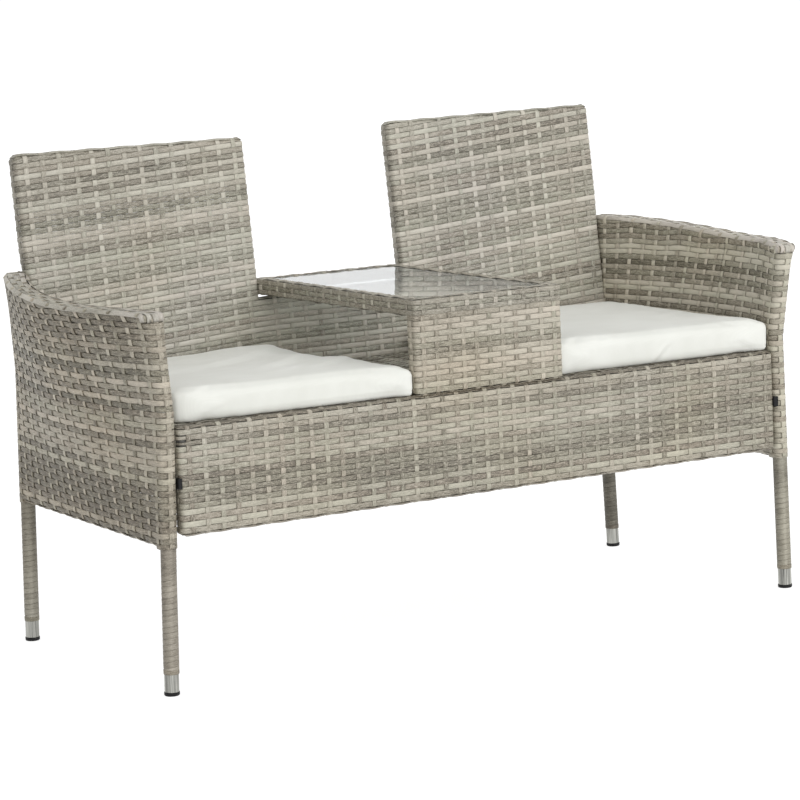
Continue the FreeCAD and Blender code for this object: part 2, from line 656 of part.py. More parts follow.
# front panel of the table, standing on the apron
UP_R = 10.0
ux_t = TABLE_X - 1.8 - UP_R
pz = APRON_Z1 + 0.5 + 1.8 + UP_R
b_rail = tube((-TABLE_X + 2.2, ay, pz), (TABLE_X - 2.2, ay, pz), UP_R, 1.0)
b_cut = rod((-TABLE_X, ay, pz), (TABLE_X, ay, pz), UP_R)
upright = tube((ux_t, ay, pz), (ux_t, ay, tz - 11.1), UP_R, 1.0)
upright = biggest(upright.cut(b_cut))
node("table_right_upright", upright)
node("table_left_upright", mirror(upright))
b_rail = clear_nuts(b_rail, [10, 11])
node("table_panel_bottom_rail", biggest(b_rail))
tf, tr = shell(-TABLE_X, TABLE_X, APRON_Y0, APRON_Y1, APRON_Z1 + 0.3, TABLE_TOP - RAIL_H - 0.3, open_top=True, edge=6.0)
node("table_panel_front_weave", biggest(clear_bolts(tf)))
node("table_panel_back_weave", biggest(clear_bolts(tr)))
node("apron_front_weave", biggest(clear_bolts(af)))
node("apron_back_weave", biggest(clear_bolts(ar)))

# woven rim round the four table rails
z0, z1 = TABLE_TOP - RAIL_H, TABLE_TOP


def rim(x0, x1, y0, y1, along):
    o = box(x0, x1, y0, y1, z0, z1)
    es = [e for e in o.Edges if (e.BoundBox.XLength if along == "x" else e.BoundBox.YLength) > 50]
    o = o.makeFillet(2.5, es)
    g = 1.65
    if along == "x":
        i = box(x0 - 1, x1 + 1, y0 + g, y1 - g, z0 + g, z1 - g)
    else:
        i = box(x0 + g, x1 - g, y0 - 1, y1 + 1, z0 + g, z1 - g)
    return o.cut(i)


tabs, pads = [], []
for y in (-222.0, 3.0, 228.0):
    for sgn in (1, -1):
        x0 = 106.0 if sgn > 0 else -sx + 8.0
        t = box(x0, x0 + (sx - 8.0 - 106.0), y - 11.0, y + 11.0, 577.0, 579.5)
        tabs.append(t)
        pads.append(Part.makeCylinder(5.0, 3.8, V(sgn * 113.5, y, 579.5)))
node("glass_support_tabs", *tabs)
node("glass_pads", *pads)
rims = [rim(TABLE_X - RAIL_W, TABLE_X, TABLE_Y0, TABLE_Y1, "y"),
        rim(-TABLE_X, -TABLE_X + RAIL_W, TABLE_Y0, TABLE_Y1, "y"),
        rim(-TABLE_X + RAIL_W + 0.1, TABLE_X - RAIL_W - 0.1, TABLE_Y0, TABLE_Y0 + RAIL_W, "x"),
        rim(-TABLE_X + RAIL_W + 0.1, TABLE_X - RAIL_W - 0.1, TABLE_Y1 - RAIL_W, TABLE_Y1, "x")]
cleaned = []
for r in rims:
    for x in (ux_t, -ux_t):
        r = r.cut(rod((x, ay, 540), (x, ay, tz - 11.1), UP_R + 0.15))
    for t in tabs:
        bb = t.BoundBox
        r = r.cut(box(bb.XMin - 0.1, bb.XMax + 0.1, bb.YMin - 0.1, bb.YMax + 0.1, bb.ZMin - 0.1, bb.ZMax + 0.1))
    # the front and rear rails run into the side rims
    for (ya, yb) in ((fy0 - 8.1, fy0 + 8.1), (ry0 - 8.1, ry0 + 8.1)):
        r = r.cut(box(-sx + 7, sx - 7, ya, yb, tz - 11.1, tz + 11.1))
    r = clear_bolts(r, 6.2)
    cleaned.append(biggest(r))
node("table_rim_weave", *cleaned)
gx = TABLE_X - RAIL_W - 0.9
glass = box(-gx, gx, TABLE_Y0 + RAIL_W + 0.9, TABLE_Y1 - RAIL_W - 0.9, 583.6, 583.6 + GLASS_T)
glass = glass.makeFillet(4.0, [e for e in glass.Edges if abs(e.BoundBox.ZLength - GLASS_T) < 1e-3])
glass = glass.makeChamfer(0.6, [e for e in glass.Edges if e.BoundBox.ZMin > 583.6 + GLASS_T - 1e-3])
node("table_glass", glass)

# ---------------------------------------------------------------- cushions
cu = box(CUSH_X0, CUSH_X1, CUSH_Y0, CUSH_Y1, CUSH_Z0, CUSH_Z1)
cu = cu.makeFillet(28.0, [e for e in cu.Edges if abs(e.BoundBox.ZLength - (CUSH_Z1 - CUSH_Z0)) < 1e-3])
cu = cu.makeFillet(16.0, [e for e in cu.Edges if e.BoundBox.ZLength < 1e-3])
node("right_cushion", cu)
node("left_cushion", mirror(cu))

# ---------------------------------------------------------------- fasteners
node("assembly_bolts", *[bolt(p, d) for p, d in BOLTS])
node("rivet_nuts", *nuts)

# ---------------------------------------------------------------- write
box_all = None
for name, shape in sorted(NODES.items()):
    if not shape.isValid():
        print("INVALID", name)
    shape.exportStep("parts/" + name + ".step")
    bb = shape.BoundBox
    if box_all is None:
        box_all = FreeCAD.BoundBox(bb)
    else:
        box_all.add(bb)
    print("%-28s solids %2d vol %9.0f  x %7.1f %7.1f  y %7.1f %7.1f  z %6.1f %6.1f" % (
        name, len(shape.Solids), shape.Volume, bb.XMin, bb.XMax, bb.YMin, bb.YMax, bb.ZMin, bb.ZMax))
print("nodes", len(NODES), "box x %.2f %.2f y %.2f %.2f z %.2f %.2f" % (
    box_all.XMin, box_all.XMax, box_all.YMin, box_all.YMax, box_all.ZMin, box_all.ZMax))
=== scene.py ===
import bpy
import math
import numpy as np
from mathutils import Matrix, Vector


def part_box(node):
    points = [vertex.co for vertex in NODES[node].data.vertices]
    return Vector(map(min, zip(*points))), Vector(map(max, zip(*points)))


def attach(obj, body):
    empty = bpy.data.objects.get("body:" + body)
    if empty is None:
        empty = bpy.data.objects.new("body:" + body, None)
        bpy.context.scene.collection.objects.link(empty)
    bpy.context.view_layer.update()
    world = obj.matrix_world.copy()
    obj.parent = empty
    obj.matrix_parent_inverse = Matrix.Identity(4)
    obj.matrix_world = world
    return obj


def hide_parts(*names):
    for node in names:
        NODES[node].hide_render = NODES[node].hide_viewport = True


# A two-seat bench with a small glass-topped table between the seats, woven
# from flat strip over steel tubes, with two loose seat cushions.
# Lengths below are in millimetres, in the same axes as the frame except that
# y is 16.7 mm further back; mm() brings points into the frame, in metres.

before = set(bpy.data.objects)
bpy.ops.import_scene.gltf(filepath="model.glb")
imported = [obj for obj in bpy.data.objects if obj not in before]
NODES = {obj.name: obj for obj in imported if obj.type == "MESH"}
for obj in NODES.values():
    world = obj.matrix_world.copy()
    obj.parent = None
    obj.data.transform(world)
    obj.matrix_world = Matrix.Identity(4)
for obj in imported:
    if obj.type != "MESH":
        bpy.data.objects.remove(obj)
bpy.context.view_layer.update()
rng = np.random.default_rng(20)
YS = -16.7


def mm(p):
    p = np.asarray(p, float).copy()
    p[..., 1] += YS
    return p / 1000.0


def unit(v):
    return v / np.maximum(np.linalg.norm(v, axis=-1, keepdims=True), 1e-9)


# ------------------------------------------------------------------ strips
SEC_U = np.array([-1.0, -0.89, 0.0, 0.89, 1.0, 0.0])
SEC_V = np.array([0.04, 0.43, 0.56, 0.43, 0.04, -0.42])


class Strips:
    """Flat crowned strips gathered into one mesh, with each point's tone,
    its lean to a warm or a cold grey (1 to -1), the strength of its brushed
    grain and its place along and across its own strip."""

    def __init__(self, name, warm=0.0):
        self.name = name
        self.warm = warm
        self.co, self.faces, self.tone, self.vec, self.heat, self.grain = [], [], [], [], [], []
        self.n = 0

    def add(self, P, N, width, tone, thick=1.25, place=None, along=None, warm=None, across=1.0, grain=1.0):
        P = np.asarray(P, float)
        n = len(P)
        if n < 2:
            return
        N = unit(np.asarray(N, float))
        T = unit(np.gradient(P, axis=0))
        C = unit(np.cross(T, N))
        M = np.cross(C, T)
        w = np.broadcast_to(np.asarray(width, float), (n,))
        co = (P[:, None, :] + C[:, None, :] * (SEC_U[None, :, None] * w[:, None, None] * 0.5)
              + M[:, None, :] * (SEC_V[None, :, None] * thick)).reshape(-1, 3)
        if place is not None:
            co = place(co)
        s = np.concatenate([[0.0], np.cumsum(np.linalg.norm(np.diff(P, axis=0), axis=1))])
        s += (rng.random() * 900.0 if along is None else along)
        seed = rng.random()
        i = np.arange(n - 1)[:, None] * 6
        j = np.arange(6)[None, :]
        k = (j + 1) % 6
        quads = np.stack([i + j, i + k, i + 6 + k, i + 6 + j], axis=-1).reshape(-1, 4)
        e = 6 * (n - 1)
        caps = np.array([[2, 1, 0, 5], [4, 3, 2, 5], [e, e + 1, e + 2, e + 5], [e + 2, e + 3, e + 4, e + 5]])
        self.faces.append(np.concatenate([quads, caps]) + self.n)
        self.co.append(co)
        t = np.broadcast_to(np.asarray(tone, float), (n,))
        self.tone.append(np.repeat(t, 6))
        self.heat.append(np.full(6 * n, self.warm if warm is None else warm))
        self.grain.append(np.full(6 * n, grain))
        v = np.empty((n, 6, 3))
        v[:, :, 0] = s[:, None]
        v[:, :, 1] = SEC_U[None, :] * np.broadcast_to(np.asarray(across, float), (n,))[:, None]
        v[:, :, 2] = seed
        v[:, 5, 1] = 0.0
        self.vec.append(v.reshape(-1, 3))
        self.n += 6 * n

    def build(self, material, body="root", nodes=(), scale=True):
        co = np.concatenate(self.co)
        if scale:
            co = mm(co)
        faces = np.concatenate(self.faces)
        me = bpy.data.meshes.new(self.name)
        me.vertices.add(len(co))
        me.vertices.foreach_set("co", co.astype(np.float32).ravel())
        me.loops.add(faces.size)
        me.loops.foreach_set("vertex_index", faces.astype(np.int32).ravel())
        me.polygons.add(len(faces))
        me.polygons.foreach_set("loop_start", np.arange(0, faces.size, 4, dtype=np.int32))
        me.polygons.foreach_set("loop_total", np.full(len(faces), 4, np.int32))
        me.polygons.foreach_set("use_smooth", np.ones(len(faces), bool))
        me.update(calc_edges=True)
        a = me.attributes.new("tone", "FLOAT", "POINT")
        a.data.foreach_set("value", np.concatenate(self.tone).astype(np.float32))
        a = me.attributes.new("warm", "FLOAT", "POINT")
        a.data.foreach_set("value", np.concatenate(self.heat).astype(np.float32))
        a = me.attributes.new("grain", "FLOAT", "POINT")
        a.data.foreach_set("value", np.concatenate(self.grain).astype(np.float32))
        a = me.attributes.new("strip", "FLOAT_VECTOR", "POINT")
        a.data.foreach_set("vector", np.concatenate(self.vec).astype(np.float32).ravel())
        me.validate()
        me.materials.append(material)
        ob = bpy.data.objects.new(self.name, me)
        bpy.context.scene.collection.objects.link(ob)
        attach(ob, body)
        if nodes:
            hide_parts(*nodes)
        return ob


AMP = 0.66


def swing(s, cs, sg, amp=AMP, hw=4.8):
    """Offset over and under the crossings cs: flat over each crossing, then
    straight to the next."""
    cs = np.asarray(cs, float)
    sg = np.asarray(sg, float)
    s = np.asarray(s, float)
    j = np.clip(np.searchsorted(cs, s) - 1, 0, len(cs) - 2)
    d = cs[j + 1] - cs[j]
    h = np.minimum(hw, 0.36 * d)
    x = np.clip((s - cs[j] - h) / np.maximum(d - 2 * h, 1e-6), 0, 1)
    v = sg[j] * (1 - x) + sg[j + 1] * x
    v = np.where(s < cs[0], sg[0], np.where(s > cs[-1], sg[-1], v))
    return amp * v


def stations(cs, s0, s1, hw=4.8, extra=(), mid=True):
    """Where a strip is sampled."""
    cs = np.asarray(cs, float)
    out = [s0, s1]
    d = np.diff(cs)
    h = np.minimum(hw, 0.36 * np.minimum(np.append(d, d[-1]), np.append(d[0], d)))
    out += list(cs - h) + list(cs + h)
    if mid:
        out += list(0.5 * (cs[1:] + cs[:-1]))
    out += list(extra)
    out = np.array(sorted(x for x in out if s0 - 1e-6 <= x <= s1 + 1e-6))
    keep = [0]
    for i in range(1, len(out)):
        if out[i] - out[keep[-1]] > 0.9:
            keep.append(i)
    out = out[keep]
    out[-1] = s1
    return out


def tuck(s, s0, s1, a, b, depth=1.9, run=11.0):
    """Inward dip of a strip's ends, where they pass under their neighbours."""
    v = np.zeros_like(s)
    if a:
        v -= depth * np.clip(1 - (s - s0) / run, 0, 1) ** 2
    if b:
        v -= depth * np.clip(1 - (s1 - s) / run, 0, 1) ** 2
    return v


# ------------------------------------------------------------------ slabs
class Slab:
    """A panel with rounded edges, in its own upright place: x along, y from
    front (negative) to back, z up. Arc a runs from the middle of the top edge
    down a face to the middle of the bottom edge."""

    def __init__(self, x0, x1, z0, z1, T, r):
        self.x0, self.x1, self.z0, self.z1, self.T, self.r = x0, x1, z0, z1, T, r
        self.a1 = T / 2 - r
        self.a2 = self.a1 + math.pi / 2 * r
        self.face = z1 - z0 - 2 * r
        self.a3 = self.a2 + self.face
        self.a4 = self.a3 + math.pi / 2 * r
        self.half = self.a4 + self.a1
        q = math.pi / 2 * r
        ky, lx = T / 2 - r, x1 - x0 - 2 * r
        self.seg = np.cumsum([0, ky, q, lx, q, 2 * ky, q, lx, q, ky])
        self.L = self.seg[-1]

    def profile(self, a):
        a = np.asarray(a, float)
        r, T = self.r, self.T
        phi = np.where(a < self.a2, np.pi / 2 - (np.clip(a, self.a1, self.a2) - self.a1) / r, 0.0)
        phi = np.where(a > self.a3, -(np.clip(a, self.a3, self.a4) - self.a3) / r, phi)
        out = T / 2 - r + r * np.cos(phi)
        out = np.where(a < self.a1, a, out)
        out = np.where(a > self.a4, T / 2 - r - (a - self.a4), out)
        z = np.where(a < (self.a2 + self.a3) / 2, self.z1 - r + r * np.sin(phi), self.z0 + r + r * np.sin(phi))
        z = np.where((a >= self.a2) & (a <= self.a3), self.z1 - r - (a - self.a2), z)
        return out, z, phi

    def z_to_a(self, z):
        """Arc for a height on the flat of the face."""
        return self.a2 + (self.z1 - self.r - z)

    def column(self, x, t):
        """Vertical path: t from -half (front bottom) over the top to +half."""
        side = np.where(t < 0, -1.0, 1.0)
        out, z, phi = self.profile(np.abs(t))
        P = np.stack([np.full_like(out, x), side * out, z], -1)
        N = np.stack([np.zeros_like(out), side * np.cos(phi), np.sin(phi)], -1)
        return P, N

    def plan(self, s):
        """Core point and outward direction of the loop at s."""
        g = self.seg
        s = np.mod(s, self.L)
        k = np.clip(np.searchsorted(g, s, side="right") - 1, 0, 8)
        u = (s - g[k]) / np.maximum(g[k + 1] - g[k], 1e-9)
        X0, X1, Y = self.x0 + self.r, self.x1 - self.r, self.T / 2 - self.r
        pi = math.pi
        start = np.array([[X0, 0], [X0, -Y], [X0, -Y], [X1, -Y], [X1, -Y], [X1, Y], [X1, Y], [X0, Y], [X0, Y]])
        end = np.array([[X0, -Y], [X0, -Y], [X1, -Y], [X1, -Y], [X1, Y], [X1, Y], [X0, Y], [X0, Y], [X0, 0]])
        th0 = np.array([pi, pi, 1.5 * pi, 1.5 * pi, 2 * pi, 2 * pi, 2.5 * pi, 2.5 * pi, 3 * pi])
        th1 = np.array([pi, 1.5 * pi, 1.5 * pi, 2 * pi, 2 * pi, 2.5 * pi, 2.5 * pi, 3 * pi, 3 * pi])
        c = start[k] + (end[k] - start[k]) * u[:, None]
        th = th0[k] + (th1[k] - th0[k]) * u
        d = np.stack([np.cos(th), np.sin(th)], -1)
        return c, d

    def corners(self):
        """Stations on the vertical edges' rounding."""
        g = self.seg
        out = []
        for k in (1, 3, 5, 7):
            out += list(np.linspace(g[k], g[k + 1], 5))
        return out

    def loop(self, s, a_of_x):
        """Horizontal loop at s; a_of_x gives the arc for an x."""
        c, d = self.plan(np.asarray(s, float))
        x = c[:, 0] + self.r * d[:, 0]
        a = a_of_x(x)
        out, z, phi = self.profile(a)
        cp = np.cos(phi)
        P = np.stack([c[:, 0] + self.r * cp * d[:, 0], c[:, 1] + self.r * cp * d[:, 1], z], -1)
        N = np.stack([cp * d[:, 0], cp * d[:, 1], np.sin(phi)], -1)
        return P, N, a


def row_loop(out, slab, cs, parity, a_of_x, width, tone, a_clip=None, start=0.75, place=None, corner_extra=None, thick=1.25,
             sink=None):
    """One woven row round a slab. cs are the crossings in the loop; where
    a_of_x is above the clip the row has run out under the top edge."""
    L = slab.L
    n = len(cs)
    s0 = start * L
    idx = np.arange(-1, 2 * n + 1)
    c_all = np.array([cs[i % n] + L * (i // n) for i in idx])
    g_all = np.array([parity * (1 if i % 2 == 0 else -1) for i in idx], float)
    extra = np.array(slab.corners() if corner_extra is None else corner_extra)
    extra = np.concatenate([extra, extra + L])
    dense = np.arange(0, L, 2.0)
    runs = [(s0, s0 + L, False, False)]
    if a_clip is not None:
        c, d = slab.plan(dense)
        ok = a_of_x(c[:, 0] + slab.r * d[:, 0]) >= a_clip
        if not ok.any():
            return
        if not ok.all():
            first = int(np.argmin(ok))
            ok2 = np.roll(ok, -first)
            s2 = dense[first] + np.arange(len(dense)) * 2.0
            runs = []
            i = 0
            while i < len(ok2):
                if ok2[i]:
                    j = i
                    while j + 1 < len(ok2) and ok2[j + 1]:
                        j += 1
                    if s2[j] - s2[i] > 24:
                        runs.append((s2[i], s2[j], True, True))
                    i = j + 1
                else:
                    i += 1
    for a, b, ta, tb in runs:
        lo = a - (a % L)
        S = stations(c_all[(c_all > a - 40) & (c_all < b + 40)], a, b, extra=extra[(extra > a) & (extra < b)])
        P, N, arc = slab.loop(S, a_of_x)
        off = swing(S, c_all, g_all) + tuck(S, a, b, ta, tb)
        w = width(P[:, 0]) if callable(width) else width
        if sink is not None:
            off = off - sink(arc)
        out.add(P + N * off[:, None], N, w, tone(P) if callable(tone) else tone, place=place, thick=thick)


def smooth(x, a, b):
    t = np.clip((np.asarray(x, float) - a) / (b - a), 0, 1)
    return t * t * (3 - 2 * t)


# ------------------------------------------------------------------ materials
def srgb(r, g, b):
    def f(c):
        c /= 255.0
        return c / 12.92 if c <= 0.04045 else ((c + 0.055) / 1.055) ** 2.4
    return (f(r), f(g), f(b), 1.0)


def new_mat(name):
    m = bpy.data.materials.new(name)
    m.use_nodes = True
    nt = m.node_tree
    nt.nodes.clear()
    out = nt.nodes.new("ShaderNodeOutputMaterial")
    bsdf = nt.nodes.new("ShaderNodeBsdfPrincipled")
    nt.links.new(bsdf.outputs["BSDF"], out.inputs["Surface"])
    return m, nt, bsdf


def math_node(nt, op, a, b=None, c=None, clamp=False):
    n = nt.nodes.new("ShaderNodeMath")
    n.operation = op
    n.use_clamp = clamp
    for i, v in enumerate((a, b, c)):
        if v is None:
            continue
        if isinstance(v, (int, float)):
            n.inputs[i].default_value = v
        else:
            nt.links.new(v, n.inputs[i])
    return n.outputs[0]


def combine(nt, x, y, z):
    n = nt.nodes.new("ShaderNodeCombineXYZ")
    for i, v in enumerate((x, y, z)):
        if isinstance(v, (int, float)):
            n.inputs[i].default_value = v
        else:
            nt.links.new(v, n.inputs[i])
    return n.outputs[0]


def noise(nt, vec, scale, detail=2.0, rough=0.5, dims="3D"):
    n = nt.nodes.new("ShaderNodeTexNoise")
    n.noise_dimensions = dims
    n.inputs["Scale"].default_value = scale
    n.inputs["Detail"].default_value = detail
    n.inputs["Roughness"].default_value = rough
    if vec is not None:
        nt.links.new(vec, n.inputs["Vector"])
    return n.outputs["Fac"]


def ramp(nt, fac, stops):
    n = nt.nodes.new("ShaderNodeValToRGB")
    cr = n.color_ramp
    while len(cr.elements) > 1:
        cr.elements.remove(cr.elements[-1])
    cr.elements[0].position = stops[0][0]
    cr.elements[0].color = stops[0][1]
    for p, c in stops[1:]:
        e = cr.elements.new(p)
        e.color = c
    nt.links.new(fac, n.inputs["Fac"])
    return n.outputs["Color"]


def mix(nt, blend, fac, a, b):
    n = nt.nodes.new("ShaderNodeMix")
    n.data_type = "RGBA"
    n.blend_type = blend
    for sock, v in ((n.inputs[0], fac), (n.inputs[6], a), (n.inputs[7], b)):
        if isinstance(v, (int, float)):
            sock.default_value = v
        elif isinstance(v, tuple):
            sock.default_value = v
        else:
            nt.links.new(v, sock)
    return n.outputs[2]


def strip_material():
    m, nt, bsdf = new_mat("woven_strip")
    at = nt.nodes.new("ShaderNodeAttribute")
    at.attribute_name = "tone"
    vt = nt.nodes.new("ShaderNodeAttribute")
    vt.attribute_name = "strip"
    sep = nt.nodes.new("ShaderNodeSeparateXYZ")
    nt.links.new(vt.outputs["Vector"], sep.inputs[0])
    x, y, z = sep.outputs
    zz = math_node(nt, "MULTIPLY", z, 53.0)
    # slow change along the strip
    slow = noise(nt, combine(nt, math_node(nt, "MULTIPLY", x, 0.014), 0.0, zz), 1.0, 1.0)
    slow = math_node(nt, "SUBTRACT", slow, 0.5)
    tone = math_node(nt, "MULTIPLY_ADD", slow, 0.5, at.outputs["Fac"])
    # brushed streaks, finer and stronger on the dark strips
    st = noise(nt, combine(nt, math_node(nt, "MULTIPLY", x, 0.11), math_node(nt, "MULTIPLY", y, 3.4), zz), 1.0, 3.0, 0.65)
    st = math_node(nt, "SUBTRACT", st, 0.5)
    sp = noise(nt, combine(nt, math_node(nt, "MULTIPLY", x, 0.42), math_node(nt, "MULTIPLY", y, 6.5), zz), 1.0, 3.0, 0.65)
    sp = math_node(nt, "SUBTRACT", sp, 0.5)
    dark = math_node(nt, "SUBTRACT", 1.12, tone, clamp=True)
    k = math_node(nt, "MULTIPLY_ADD", dark, 2.3, 0.26)
    gr = nt.nodes.new("ShaderNodeAttribute")
    gr.attribute_name = "grain"
    k = math_node(nt, "MULTIPLY", k, gr.outputs["Fac"])
    both = math_node(nt, "ADD", math_node(nt, "MULTIPLY", st, 0.95), math_node(nt, "MULTIPLY", sp, 0.95))
    t2 = math_node(nt, "MULTIPLY_ADD", both, k, tone, clamp=True)
    col = ramp(nt, t2, [(0.0, srgb(90, 85, 74)), (0.25, srgb(125, 119, 106)), (0.5, srgb(154, 149, 135)),
                        (0.75, srgb(180, 175, 161)), (1.0, srgb(203, 198, 184))])
    # strips from different reels lean to violet grey or green grey
    wn = nt.nodes.new("ShaderNodeTexWhiteNoise")
    wn.noise_dimensions = "1D"
    nt.links.new(zz, wn.inputs["W"])
    tint = ramp(nt, wn.outputs["Value"], [(0.0, (0.975, 1.0, 0.975, 1)), (0.4, (1.0, 1.0, 1.0, 1)), (1.0, (1.025, 0.985, 0.985, 1))])
    col = mix(nt, "MULTIPLY", 1.0, col, tint)
    # whole areas lean to a warm brown grey or a cold one
    wt = nt.nodes.new("ShaderNodeAttribute")
    wt.attribute_name = "warm"
    cloud = noise(nt, object_vec(nt, 4.5, 4.5, 4.5), 1.0, 1.0)
    heat = math_node(nt, "MULTIPLY_ADD", math_node(nt, "SUBTRACT", cloud, 0.5), 2.2, wt.outputs["Fac"])
    heat = math_node(nt, "MULTIPLY_ADD", heat, 0.5, 0.5, clamp=True)
    lean = ramp(nt, heat, [(0.0, (0.985, 0.985, 1.055, 1)), (0.25, (0.985, 1.0, 1.02, 1)), (0.5, (1.0, 1.0, 1.0, 1)),
                           (0.75, (1.012, 0.996, 0.97, 1)), (1.0, (1.03, 0.99, 0.925, 1))])
    col = mix(nt, "MULTIPLY", 1.0, col, lean)
    # painted shade in the grooves beside the strip: the colour darkens towards the strip's long edges
    ay = math_node(nt, "ABSOLUTE", y)
    edge = math_node(nt, "MULTIPLY", math_node(nt, "SUBTRACT", ay, 0.85, clamp=True), 6.5, clamp=True)
    edge = math_node(nt, "MULTIPLY", edge, 0.24)
    col = mix(nt, "MULTIPLY", edge, col, (0.30, 0.28, 0.25, 1.0))
    nt.links.new(col, bsdf.inputs["Base Color"])
    rg = math_node(nt, "MULTIPLY_ADD", sp, 0.3, 0.5, clamp=True)
    nt.links.new(rg, bsdf.inputs["Roughness"])
    bsdf.inputs["Specular IOR Level"].default_value = 0.42
    b = nt.nodes.new("ShaderNodeBump")
    b.inputs["Strength"].default_value = 0.35
    b.inputs["Distance"].default_value = 0.00035
    nt.links.new(both, b.inputs["Height"])
    nt.links.new(b.outputs["Normal"], bsdf.inputs["Normal"])
    return m


def object_vec(nt, sx, sy, sz):
    tc = nt.nodes.new("ShaderNodeTexCoord")
    mp = nt.nodes.new("ShaderNodeMapping")
    mp.inputs["Scale"].default_value = (sx, sy, sz)
    nt.links.new(tc.outputs["Object"], mp.inputs["Vector"])
    return mp.outputs["Vector"]


def cushion_material():
    m, nt, bsdf = new_mat("cushion_fabric")
    weft = nt.nodes.new("ShaderNodeTexWave")
    weft.wave_type = "BANDS"
    weft.bands_direction = "X"
    weft.inputs["Scale"].default_value = 1.0
    weft.inputs["Distortion"].default_value = 1.2
    weft.inputs["Detail"].default_value = 1.0
    nt.links.new(object_vec(nt, 260.0, 260.0, 260.0), weft.inputs["Vector"])
    warp = nt.nodes.new("ShaderNodeTexWave")
    warp.wave_type = "BANDS"
    warp.bands_direction = "Y"
    warp.inputs["Scale"].default_value = 1.0
    warp.inputs["Distortion"].default_value = 1.2
    warp.inputs["Detail"].default_value = 1.0
    nt.links.new(object_vec(nt, 260.0, 260.0, 260.0), warp.inputs["Vector"])
    up = nt.nodes.new("ShaderNodeTexWave")
    up.wave_type = "BANDS"
    up.bands_direction = "Z"
    up.inputs["Scale"].default_value = 1.0
    up.inputs["Distortion"].default_value = 1.0
    nt.links.new(object_vec(nt, 260.0, 260.0, 260.0), up.inputs["Vector"])
    cloth = math_node(nt, "ADD", math_node(nt, "MULTIPLY", weft.outputs["Fac"], warp.outputs["Fac"]), math_node(nt, "MULTIPLY", up.outputs["Fac"], 0.5))
    blot = noise(nt, object_vec(nt, 9.0, 9.0, 9.0), 1.0, 3.0)
    col = ramp(nt, blot, [(0.3, srgb(233, 234, 227)), (0.7, srgb(241, 242, 236))])
    col = mix(nt, "MULTIPLY", math_node(nt, "MULTIPLY", cloth, 0.10), col, (0.72, 0.72, 0.68, 1))
    nt.links.new(col, bsdf.inputs["Base Color"])
    bsdf.inputs["Roughness"].default_value = 0.86
    bsdf.inputs["Specular IOR Level"].default_value = 0.25
    bsdf.inputs["Sheen Weight"].default_value = 0.18
    bsdf.inputs["Sheen Roughness"].default_value = 0.5
    crease = noise(nt, object_vec(nt, 26.0, 14.0, 26.0), 1.0, 3.0, 0.55)
    h = math_node(nt, "ADD", math_node(nt, "MULTIPLY", cloth, 0.12), crease)
    b = nt.nodes.new("ShaderNodeBump")
    b.inputs["Strength"].default_value = 0.30
    b.inputs["Distance"].default_value = 0.0016
    nt.links.new(h, b.inputs["Height"])
    nt.links.new(b.outputs["Normal"], bsdf.inputs["Normal"])
    return m


def tube_material(name, color, metallic, rough, streak=(30.0, 30.0, 4.0), amount=0.12, spec=0.5):
    m, nt, bsdf = new_mat(name)
    n = noise(nt, object_vec(nt, *[s * 12 for s in streak]), 1.0, 4.0, 0.6)
    lo = tuple(c * (1 - amount * 1.6) for c in color[:3]) + (1,)
    hi = tuple(min(1, c * (1 + amount)) for c in color[:3]) + (1,)
    nt.links.new(ramp(nt, n, [(0.3, lo), (0.7, hi)]), bsdf.inputs["Base Color"])
    bsdf.inputs["Metallic"].default_value = metallic
    bsdf.inputs["Specular IOR Level"].default_value = spec
    nt.links.new(math_node(nt, "MULTIPLY_ADD", n, 0.2, rough - 0.1, clamp=True), bsdf.inputs["Roughness"])
    b = nt.nodes.new("ShaderNodeBump")
    b.inputs["Strength"].default_value = 0.15
    b.inputs["Distance"].default_value = 0.0002
    nt.links.new(n, b.inputs["Height"])
    nt.links.new(b.outputs["Normal"], bsdf.inputs["Normal"])
    return m


def glass_material():
    m, nt, bsdf = new_mat("clear_glass")
    n = noise(nt, object_vec(nt, 30.0, 30.0, 30.0), 1.0, 2.0)
    nt.links.new(ramp(nt, n, [(0.35, (0.85, 0.895, 0.905, 1)), (0.65, (0.875, 0.915, 0.92, 1))]), bsdf.inputs["Base Color"])
    nt.links.new(math_node(nt, "MULTIPLY_ADD", n, 0.02, 0.0, clamp=True), bsdf.inputs["Roughness"])
    bsdf.inputs["Transmission Weight"].default_value = 0.9
    bsdf.inputs["IOR"].default_value = 1.5
    return m


WOVEN = strip_material()
FABRIC = cushion_material()
STEEL = tube_material("bare_steel", (0.34, 0.34, 0.315, 1), 1.0, 0.28, streak=(16.0, 16.0, 0.5), amount=0.5)
PAINT = tube_material("painted_steel", (0.11, 0.105, 0.095, 1), 0.0, 0.5)
ZINC = tube_material("zinc_steel", (0.55, 0.56, 0.57, 1), 1.0, 0.38)
BLACK = tube_material("black_plastic", (0.009, 0.009, 0.0095, 1), 0.0, 0.5, amount=0.3, spec=0.2)
PAD = tube_material("clear_pad", (0.62, 0.64, 0.62, 1), 0.0, 0.3, amount=0.06)
GLASS = glass_material()


def paint_nodes():
    for name, ob in NODES.items():
        m = PAINT
        if name == "foot_caps" or name == "panel_spacers":
            m = BLACK
        elif name.endswith("leg_tube"):
            m = STEEL
        elif name in ("assembly_bolts", "rivet_nuts"):
            m = ZINC
        elif name == "glass_pads":
            m = PAD
        elif name == "table_glass":
            m = GLASS
        elif name.endswith("cushion"):
            m = FABRIC
        elif name.endswith("weave") or name.endswith("edge_wrap"):
            m = WOVEN
        if not ob.material_slots:
            ob.data.materials.append(m)
        for s in ob.material_slots:
            s.material = m


paint_nodes()

# ------------------------------------------------------------------ tones
LIGHT, LM, MID, MD, DARK = 0.84, 0.62, 0.46, 0.31, 0.15


def row_tone(v):
    return float(np.clip(v + rng.normal(0, 0.035), 0.02, 0.98))


